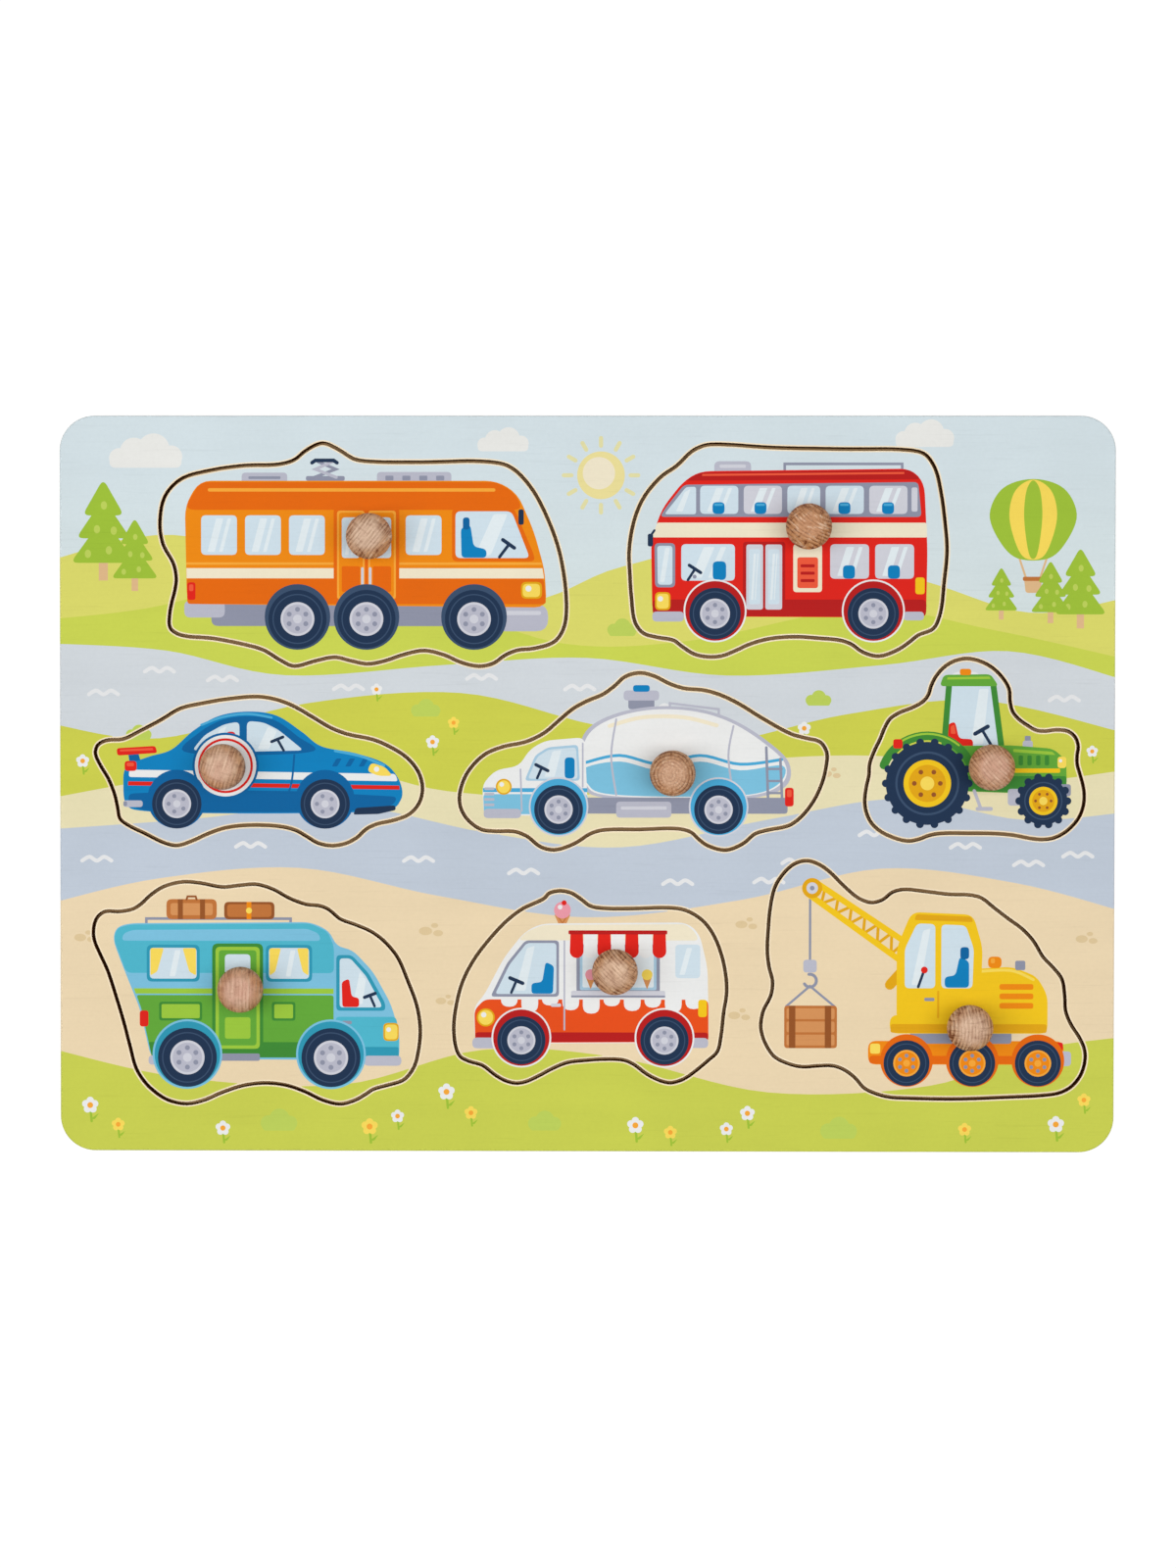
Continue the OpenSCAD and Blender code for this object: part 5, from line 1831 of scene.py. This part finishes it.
@dataclass
class IceCreamVan(VehiclePiece):
    """A white and red ice cream van with a cone on its roof, driving to the left."""

    name: str = "ice_cream_van"
    blank: Blank = Blank(-42, 38, 130, 0.30, 0.90, 0)
    picture_scale: float = 0.96

    def paint(self) -> None:
        """Draws the ice cream van."""
        pen = self.pen
        # Cone on the roof
        pen.shape(Ink.TAN, 0.4, 28, 48.9, 32.8, 48.9, 30.9, 44.6, 29.9, 44.6)
        pen.line(Ink.BROWN, 0.35, 28.9, 48.6, 31, 45.4)
        pen.line(Ink.BROWN, 0.35, 31.9, 48.6, 29.8, 45.4)
        pen.disc(Ink.PINK, 30.4, 50.2, 2.5)
        pen.disc(Ink.WHITE, 29.7, 51.1, 0.7)
        pen.disc(Ink.RED, 30.9, 52.4, 0.75)
        # Body
        pen.shape(Ink.WHITE, 3, 4.4, 10.4, 4, 21.4, 7, 24.6, 13, 36, 19, 43.6, 24, 46.2, 67.4, 46.6, 71.2, 43.2,
            73.6, 33, 74, 10.8)
        pen.shape(Ink.CREAM, 1.4, 17.2, 41.2, 20, 43.9, 24.6, 45.8, 67, 46.1, 69.8, 43.8, 71, 41.2)
        # Lower half, with drips over its edge
        pen.shape(Ink.VERMILION, 1.6, 4.5, 10.6, 4.2, 20.4, 7.2, 23.6, 73.8, 23.6, 73.9, 11)
        for i, drop in enumerate((1.6, 3.2, 1.2, 2.6, 3.6, 1.4, 2.8, 1.8, 3.2, 2.2)):
            x = 14.6 + 6.1 * i
            pen.box(Ink.WHITE, x - 2.5, 23 - drop, x + 2.5, 26, 2.4)
        pen.shape(Ink.WINE, 1, 4.6, 10.8, 4.45, 13.8, 73.8, 13.8, 73.8, 11.2)
        # Serving hatch with its awning
        pen.box(Ink.IRON, 34.6, 25.4, 59.4, 40, 1)
        pen.box(Ink.ICE, 35.6, 26.4, 58.4, 39, 0.6)
        pen.box(Ink.GLINT, 36.4, 27.2, 57.6, 38.2, 0.5)
        for x, ink in ((37.4, Ink.PINK), (54.2, Ink.LEMON)):
            pen.shape(Ink.TAN, 0.2, x, 30.2, x + 2.8, 30.2, x + 1.4, 26.6)
            pen.disc(ink, x + 1.4, 31, 1.6)
        pen.box(Ink.TIN, 33, 24.2, 61, 26.2, 0.6)
        pen.box(Ink.IRON, 33, 24.2, 61, 24.8, 0.2)
        for i in range(7):
            left = 32.6 + 4.1 * i
            ink = Ink.RED if i % 2 == 0 else Ink.WHITE
            pen.shape(ink, 0, left, 38, left + 4.1, 38, left + 3.9, 43.6, left + 0.2, 43.6)
            pen.disc(ink, left + 2.05, 38, 2.05)
        pen.box(Ink.WINE, 32.2, 43, 61.6, 44.2, 0.4)
        # Driver's window, door line and rear panel
        pen.shape(Ink.IRON, 1.2, 9, 24.4, 13.9, 34.4, 19.4, 41.2, 29.4, 41.2, 29.4, 24.4)
        pen.shape(Ink.GLASS, 1, 10.4, 25.2, 14.7, 34, 19.8, 40.4, 28.6, 40.4, 28.6, 25.2)
        pen.shape(Ink.GLINT, 0.5, 16.4, 26.2, 19.8, 38.8, 22.2, 39.6, 19.4, 26.2)
        pen.shape(Ink.BLUE, 1, 27.6, 25.3, 27.9, 33.6, 25.4, 34.8, 24.4, 28.8, 21.2, 28.4, 21.2, 25.3)
        pen.line(Ink.NAVY, 0.8, 15.2, 25.6, 16.8, 29.4)
        pen.line(Ink.NAVY, 1.1, 14.8, 30, 18.6, 28.4)
        pen.line(Ink.STEEL, 0.5, 31, 14.6, 31, 41)
        pen.box(Ink.TIN, 27, 21.4, 30, 22.4, 0.4)
        pen.box(Ink.GLASS, 64, 30, 71.4, 40, 1.2)
        pen.shape(Ink.GLINT, 0.3, 65.2, 31, 67.4, 39, 69, 39, 66.8, 31)
        # Lamps and bumpers
        pen.disc(Ink.AMBER, 7.6, 18.2, 2.7)
        pen.disc(Ink.LEMON, 7.6, 18.2, 2.2)
        pen.disc(Ink.WHITE, 7, 19, 0.8)
        pen.box(Ink.YELLOW, 70.8, 18.4, 73.4, 23.6, 0.9)
        pen.box(Ink.STEEL, 3.6, 9, 12, 12.2, 1.4)
        pen.box(Ink.STEEL, 68, 9.2, 73.8, 12.2, 1.3)
        # Wheels in their arches
        for x in (18.2, 60.8):
            pen.disc(Ink.WHITE, x, 12.2, 8.9)
            pen.disc(Ink.WINE, x, 12.2, 8.4)
            pen.wheel(x, 11.4, 7.2)


@dataclass
class Crane(VehiclePiece):
    """A yellow crane lorry that lifts a crate on its hook."""

    name: str = "crane"
    blank: Blank = Blank(88, 28, 150, 0.22, 0.80, 0.05)
    picture_scale: float = 0.965

    def paint(self) -> None:
        """Draws the crane."""
        pen = self.pen
        # Crate, hook and cable
        pen.line(Ink.IRON, 0.7, 12.4, 60, 12.4, 39)
        pen.box(Ink.STEEL, 10.4, 36.6, 14.4, 40.4, 1)
        pen.stroke(Ink.IRON, 0.9, arc(12.4, 34.2, 1.9, 100, -150, 12))
        pen.line(Ink.IRON, 0.7, 5.4, 26.6, 12.4, 32.6, 19.6, 26.6)
        pen.box(Ink.BROWN, 4.8, 14.2, 20.4, 26.8, 1)
        for high in (15, 18.9, 22.8):
            pen.box(Ink.TAN, 5.5, high, 19.7, high + 3.2, 0.6)
        for left in (6.2, 16.8):
            pen.box(Ink.UMBER, left, 14.2, left + 1.9, 26.8, 0.3)
        # Boom
        pen.line(Ink.AMBER, 3, 44, 42, 36, 33)
        chords, bays = ((11.6, 60, 44.6, 36.2), (14.8, 62.8, 46.4, 41.8)), 8
        joints = []
        for i in range(2 * bays + 1):
            x, y, end_x, end_y = chords[i % 2]
            share = i / (2 * bays)
            joints.append((x + (end_x - x) * share, y + (end_y - y) * share))
        for strut in zip(joints, joints[1:]):
            pen.stroke(Ink.AMBER, 0.9, list(strut))
        for chord in chords:
            pen.line(Ink.YELLOW, 1.8, *chord)
        pen.disc(Ink.AMBER, 13, 61.6, 3)
        pen.disc(Ink.TIN, 13, 61.6, 1.7)
        pen.disc(Ink.IRON, 13, 61.6, 0.7)
        # Chassis and outrigger
        pen.box(Ink.ORANGE, 29.6, 9.4, 87.4, 16.4, 2.4)
        pen.box(Ink.RUST, 29.9, 9.6, 87, 12, 1.2)
        pen.box(Ink.STEEL, 85, 9, 89.6, 13.4, 1.2)
        pen.box(Ink.LEMON, 30.2, 12.6, 33.2, 15.6, 0.8)
        pen.box(Ink.RED, 84.6, 13.6, 87.2, 16, 0.7)
        # Turret
        pen.box(Ink.IRON, 42, 15.6, 72, 19.4, 1)
        pen.shape(Ink.YELLOW, 2.4, 36, 18.6, 36, 24, 57, 25, 58, 37.6, 72, 38.4, 79.4, 35.6, 82.6, 30, 82.6, 18.6)
        pen.shape(Ink.AMBER, 0.8, 36.2, 18.8, 36.2, 21.4, 82.4, 21.4, 82.4, 18.8)
        pen.curve(Ink.LEMON, 0.8, 61, 36.9, 71.6, 37.3, 78.4, 34.6)
        for high in (26, 28.8, 31.6):
            pen.box(Ink.ORANGE, 68.4, high, 78.4, high + 1.7, 0.7)
        pen.box(Ink.IRON, 73, 37.4, 76, 40.2, 0.6)
        pen.box(Ink.ORANGE, 65, 38, 69, 41.4, 1.4)
        pen.box(Ink.PEACH, 65.8, 39.4, 67, 40.9, 0.5)
        # Cab
        pen.shape(Ink.YELLOW, 2.6, 38, 22, 38, 44, 42.4, 54.6, 60.6, 53.8, 63.4, 44, 62.6, 22)
        pen.shape(Ink.AMBER, 0.6, 43.2, 52.2, 43.8, 53.9, 60, 53.2, 60.6, 51.6)
        pen.shape(Ink.GLASS, 1.4, 40.4, 32, 40.4, 43.6, 44, 51.2, 49.4, 51, 49.4, 32)
        pen.shape(Ink.GLASS, 1.4, 51.2, 32, 51.2, 50.9, 58.4, 50.6, 60.8, 43.6, 60.4, 32)
        pen.shape(Ink.GLINT, 0.5, 42.4, 33, 45.8, 49, 48, 49.8, 45, 33)
        pen.shape(Ink.BLUE, 1.2, 59.4, 32.2, 59.4, 40, 56.6, 41.4, 55.4, 35.8, 52.2, 35.4, 52.2, 32.2)
        pen.box(Ink.COBALT, 56.8, 40.6, 59.4, 44.2, 1)
        pen.line(Ink.NAVY, 0.8, 44.4, 32.4, 46, 37)
        pen.disc(Ink.RED, 46.2, 37.4, 1)
        pen.line(Ink.AMBER, 0.6, 50.3, 23.4, 50.3, 31)
        pen.box(Ink.IRON, 46.2, 28.2, 49.2, 29.2, 0.4)
        # Wheels
        for x in (41, 60.4, 79.8):
            pen.disc(Ink.RUST, x, 10.6, 7.8)
            pen.wheel(x, 9.8, 6.8, rim=Ink.PEACH, dish=Ink.ORANGE)


@dataclass
class Knob:
    """A ball knob with a flat top, turned in one with its neck and tenon.

    Attributes:
        name: Vehicle that it lifts.
        blank: Wood that it is turned from.
        diameter: Diameter of the ball, in millimetres.
        flat: Diameter of its flat top.
        neck: Diameter of the neck.
        tenon: Diameter of the tenon.
        stand: Height of the flat top above the plate.
        tenon_length: Length of the tenon in the plate.
        steps: Steps round the knob.
    """

    name: str
    blank: Blank
    diameter: float = 13.0
    flat: float = 6.5
    neck: float = 7.2
    tenon: float = 4.9
    stand: float = 14.0
    tenon_length: float = 4.5
    steps: int = 72

    def profile(self) -> list[Point]:
        """Draws half of the knob's section, from the tenon's end to the middle of the flat top.

        Returns:
            Points out from the axis and up from the plate, in millimetres.
        """
        radius, flat, neck, tenon = self.diameter / 2, self.flat / 2, self.neck / 2, self.tenon / 2
        middle = self.stand - math.sqrt(radius ** 2 - flat ** 2)
        lowest = -math.degrees(math.acos((neck + 0.25) / radius))
        highest = math.degrees(math.acos((flat + 0.4) / radius))
        ball = arc(0, middle, radius, lowest, highest, 22)
        crown = through([ball[-1], (flat + 0.05, self.stand - 0.12), (flat - 0.5, self.stand)], steps=3)
        deep = -self.tenon_length
        foot = pairs((0, deep, tenon - 0.3, deep, tenon, 0.3 + deep, tenon, -0.05, tenon + 0.02, 0,
                      neck - 0.1, 0, neck, 0.1, neck, 1.4, neck, ball[0][1] - 0.3))
        return [*foot, *ball, *crown[1:], (flat * 0.5, self.stand), (0, self.stand)]

    def mesh(self) -> bpy.types.Mesh:
        """Turns the knob on the lathe.

        Returns:
            The knob's mesh, in place.
        """
        low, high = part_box(f"{self.name}_knob")
        middle, points = (low + high) / 2, self.profile()
        line = bpy.data.meshes.new(f"{self.name}_profile")
        line.from_pydata([(x * MM, -y * MM, 0) for x, y in points], [(i, i + 1) for i in range(len(points) - 1)], [])
        stock = in_scene(f"{self.name}_stock", line)
        lathe = stock.modifiers.new("lathe", "NODES")
        lathe.node_group = Lathe.tree()
        Lathe.set_inputs(lathe, {
            "Steps": self.steps,
            "Place": (middle.x, middle.y, low.z + self.tenon_length * MM),
            "Grain Turn": math.radians(90 - self.blank.rings),
            "Grain Shift": (self.blank.pith * MM, 0.0, self.blank.depth * MM),
            "Tint": (self.blank.tone, self.blank.strokes, self.blank.rosy),
            "Finish": BeechFinish().material(),
        })
        turned = bpy.data.meshes.new_from_object(stock.evaluated_get(bpy.context.evaluated_depsgraph_get()))
        stock.modifiers.remove(lathe)
        bpy.data.objects.remove(stock)
        turned.name = f"{self.name}_peg"
        if volume(turned) < 0:
            turned.flip_normals()
        return turned


class Lathe:
    """The geometry nodes that turn a profile about an upright axis."""

    NAME = "turn_on_lathe"
    AXIS_RADIUS = 1e-7
    SEAM = 2e-6

    @classmethod
    def tree(cls) -> bpy.types.GeometryNodeTree:
        """Gives the node tree, and builds it the first time.

        Returns:
            The tree, whose named inputs are Steps, Place, Grain Turn, Grain Shift, Tint and Finish.
        """
        if cls.NAME not in bpy.data.node_groups:
            cls.wire(Net(bpy.data.node_groups.new(cls.NAME, "GeometryNodeTree")))
        return bpy.data.node_groups[cls.NAME]

    @classmethod
    def wire(cls, net: Net) -> None:
        """Wires the turning, the places in the wood, the reach from the axis and the finish.

        Args:
            net: Net of the empty tree.
        """
        given = net.given({"Profile": "Geometry", "Steps": "Int", "Place": "Vector", "Grain Turn": "Float",
                           "Grain Shift": "Vector", "Tint": "Vector", "Finish": "Material"}, {"Knob": "Geometry"})
        profile = net.out("GeometryNodeMeshToCurve", {"Mesh": given["Profile"]})
        axis = net.out("GeometryNodeCurvePrimitiveCircle", {"Resolution": given["Steps"], "Radius": cls.AXIS_RADIUS})
        turned = net.out("GeometryNodeCurveToMesh", {"Curve": axis, "Profile Curve": profile})
        made = net.out("GeometryNodeMergeByDistance", {"Geometry": turned, "Distance": cls.SEAM})
        place = net.out("GeometryNodeInputPosition")
        turn = {"Vector": place, "Angle": given["Grain Turn"]}
        rotated = net.out("ShaderNodeVectorRotate", turn, rotation_type="Z_AXIS")
        length = net.length(net.vector("MULTIPLY", place, (1, 1, 0)))
        # Towards the plate the flank counts as nearer, so that the neck's wood stays pale
        reach = net.sum("SUBTRACT", length, net.between(net.axes(place)[2], 0.0085, 0.0035, 0, 0.0025))
        for layer, kind, value in (
            (WOOD_LAYER, "FLOAT_VECTOR", net.vector("ADD", rotated, given["Grain Shift"])),
            (TINT_LAYER, "FLOAT_VECTOR", given["Tint"]), (REACH_LAYER, "FLOAT", reach),
        ):
            made = net.out("GeometryNodeStoreNamedAttribute", {"Geometry": made, "Name": layer, "Value": value},
                           data_type=kind, domain="POINT")
        made = net.out("GeometryNodeSetPosition", {"Geometry": made, "Offset": given["Place"]})
        made = net.out("GeometryNodeSetShadeSmooth", {"Geometry": made})
        made = net.out("GeometryNodeRealizeInstances", {"Geometry": made})
        made = net.out("GeometryNodeSetMaterial", {"Geometry": made, "Material": given["Finish"]})
        net.add("NodeGroupOutput", {"Knob": made})

    @staticmethod
    def set_inputs(modifier: bpy.types.Modifier, values: dict[str, object]) -> None:
        """Sets a modifier's inputs by their socket's identifier.

        Args:
            modifier: Modifier that runs the tree.
            values: Name of each input, and its value.
        """
        for item in modifier.node_group.interface.items_tree:
            if item.item_type == "SOCKET" and item.in_out == "INPUT" and item.name in values:
                modifier[item.identifier] = values[item.name]


def in_scene(name: str, data: bpy.types.ID) -> bpy.types.Object:
    """Makes an object and puts it in the scene.

    Args:
        name: Its name.
        data: Its mesh, camera or light.

    Returns:
        The object.
    """
    made = bpy.data.objects.new(name, data)
    bpy.context.scene.collection.objects.link(made)
    return made


def volume(mesh: bpy.types.Mesh) -> float:
    """Measures a closed mesh.

    Args:
        mesh: The mesh.

    Returns:
        Its volume, which is negative where its faces point inwards.
    """
    mesh.calc_loop_triangles()
    corners = [[mesh.vertices[number].co for number in triangle.vertices] for triangle in mesh.loop_triangles]
    return sum(a.dot(b.cross(c)) for a, b, c in corners) / 6


def board_outline(low: Vector, high: Vector, radius: float, steps: int = 20) -> list[Point]:
    """Draws a rectangle with round corners.

    Args:
        low: Lowest corner of the board's box, in metres.
        high: Highest corner.
        radius: Radius of the corners, in millimetres.
        steps: Steps round each corner.

    Returns:
        The outline in millimetres, anticlockwise.
    """
    outline = []
    for x, y, first in ((high.x, low.y, -90), (high.x, high.y, 0), (low.x, high.y, 90), (low.x, low.y, 180)):
        middle = (x / MM - math.copysign(radius, x), y / MM - math.copysign(radius, y))
        outline.extend(arc(*middle, radius, first, first + 90, steps))
    return outline


def smoothed(loop: list[Point], steps: int = 3) -> list[Point]:
    """Puts a smooth line through a sawn outline's points."""
    return through(loop, closed=True, steps=steps)


@dataclass
class Studio:
    """Camera, lamps and floor.

    Attributes:
        camera_place: Place of the camera, in metres.
        camera_turn: Lean of the camera about X and Y, and its turn about Z, in degrees.
        focal_length: Focal length, in millimetres.
        sensor: Width and height of the sensor, in millimetres.
        ambient: Strength of the even light from all round.
        box_size: Width and length of each soft box, in metres.
        lamps: Place and power of each soft box.
        floor_reach: Half of the floor's width, in metres.
    """

    camera_place: Point3 = (0.007725, 0.0142, 0.87773)
    camera_turn: Point3 = (-0.931, 0.485, 0.054)
    focal_length: float = 70.0
    sensor: Point = (27.0, 36.0)
    ambient: float = 0.24
    box_size: Point = (0.6, 1.0)
    lamps: tuple[tuple[Point3, float], ...] = (((-0.54, -0.04, 1.06), 6.4), ((0.38, -0.02, 1.13), 6.7))
    floor_reach: float = 3.0

    def build(self) -> None:
        """Builds the camera, the lamps, the world and the floor."""
        lens = bpy.data.cameras.new("camera")
        lens.sensor_fit = "VERTICAL"
        lens.sensor_width, lens.sensor_height = self.sensor
        lens.lens = self.focal_length
        lens.clip_start = 0.01
        camera = in_scene("camera", lens)
        camera.location = self.camera_place
        camera.rotation_euler = [math.radians(turn) for turn in self.camera_turn]
        bpy.context.scene.camera = camera
        for number, (place, power) in enumerate(self.lamps):
            light = bpy.data.lights.new(f"soft_box_{number}", "AREA")
            light.shape, light.energy = "RECTANGLE", power
            light.size, light.size_y = self.box_size
            lamp = in_scene(f"soft_box_{number}", light)
            lamp.location = place
            lamp.rotation_euler = (-Vector(place)).to_track_quat("-Z", "Y").to_euler()
        self.build_world()
        self.build_floor()

    def build_world(self) -> None:
        """Builds even light from all round, which the camera sees as white."""
        world = bpy.data.worlds.new("studio")
        world.use_nodes = True
        world.node_tree.nodes.clear()
        net = Net(world.node_tree)
        rays = net.add("ShaderNodeLightPath").outputs
        seen = net.sum("MAXIMUM", rays["Is Camera Ray"], rays["Is Transmission Ray"])
        strength = net.between(seen, 0, 1, self.ambient, 1)
        glow = net.out("ShaderNodeBackground", {"Color": (1, 1, 1, 1), "Strength": strength})
        net.add("ShaderNodeOutputWorld", {0: glow})
        bpy.context.scene.world = world

    def build_floor(self) -> None:
        """Builds the floor."""
        reach, mesh = self.floor_reach, bpy.data.meshes.new("floor")
        corners = [(-reach, -reach, 0), (reach, -reach, 0), (reach, reach, 0), (-reach, reach, 0)]
        mesh.from_pydata(corners, [], [(0, 1, 2, 3)])
        mesh.materials.append(FloorFinish().material())
        floor = in_scene("floor", mesh)


def main() -> None:
    """Builds the puzzle and the studio."""
    logging.basicConfig(level=logging.INFO, format="%(message)s")
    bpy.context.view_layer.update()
    bpy.context.scene.view_settings.view_transform = "Standard"
    Studio().build()
    landscape = Landscape().picture()
    back, front = BackingBoard(), FrontBoard()
    back.build()
    front.build(landscape)
    vehicles = [Tram(), Bus(), RacingCar(), MilkTanker(), Tractor(), Camper(), IceCreamVan(), Crane()]
    for vehicle in vehicles:
        vehicle.build(landscape)
    for part in (back, front, *vehicles):
        part.finish()


if __name__ == "__main__":
    main()
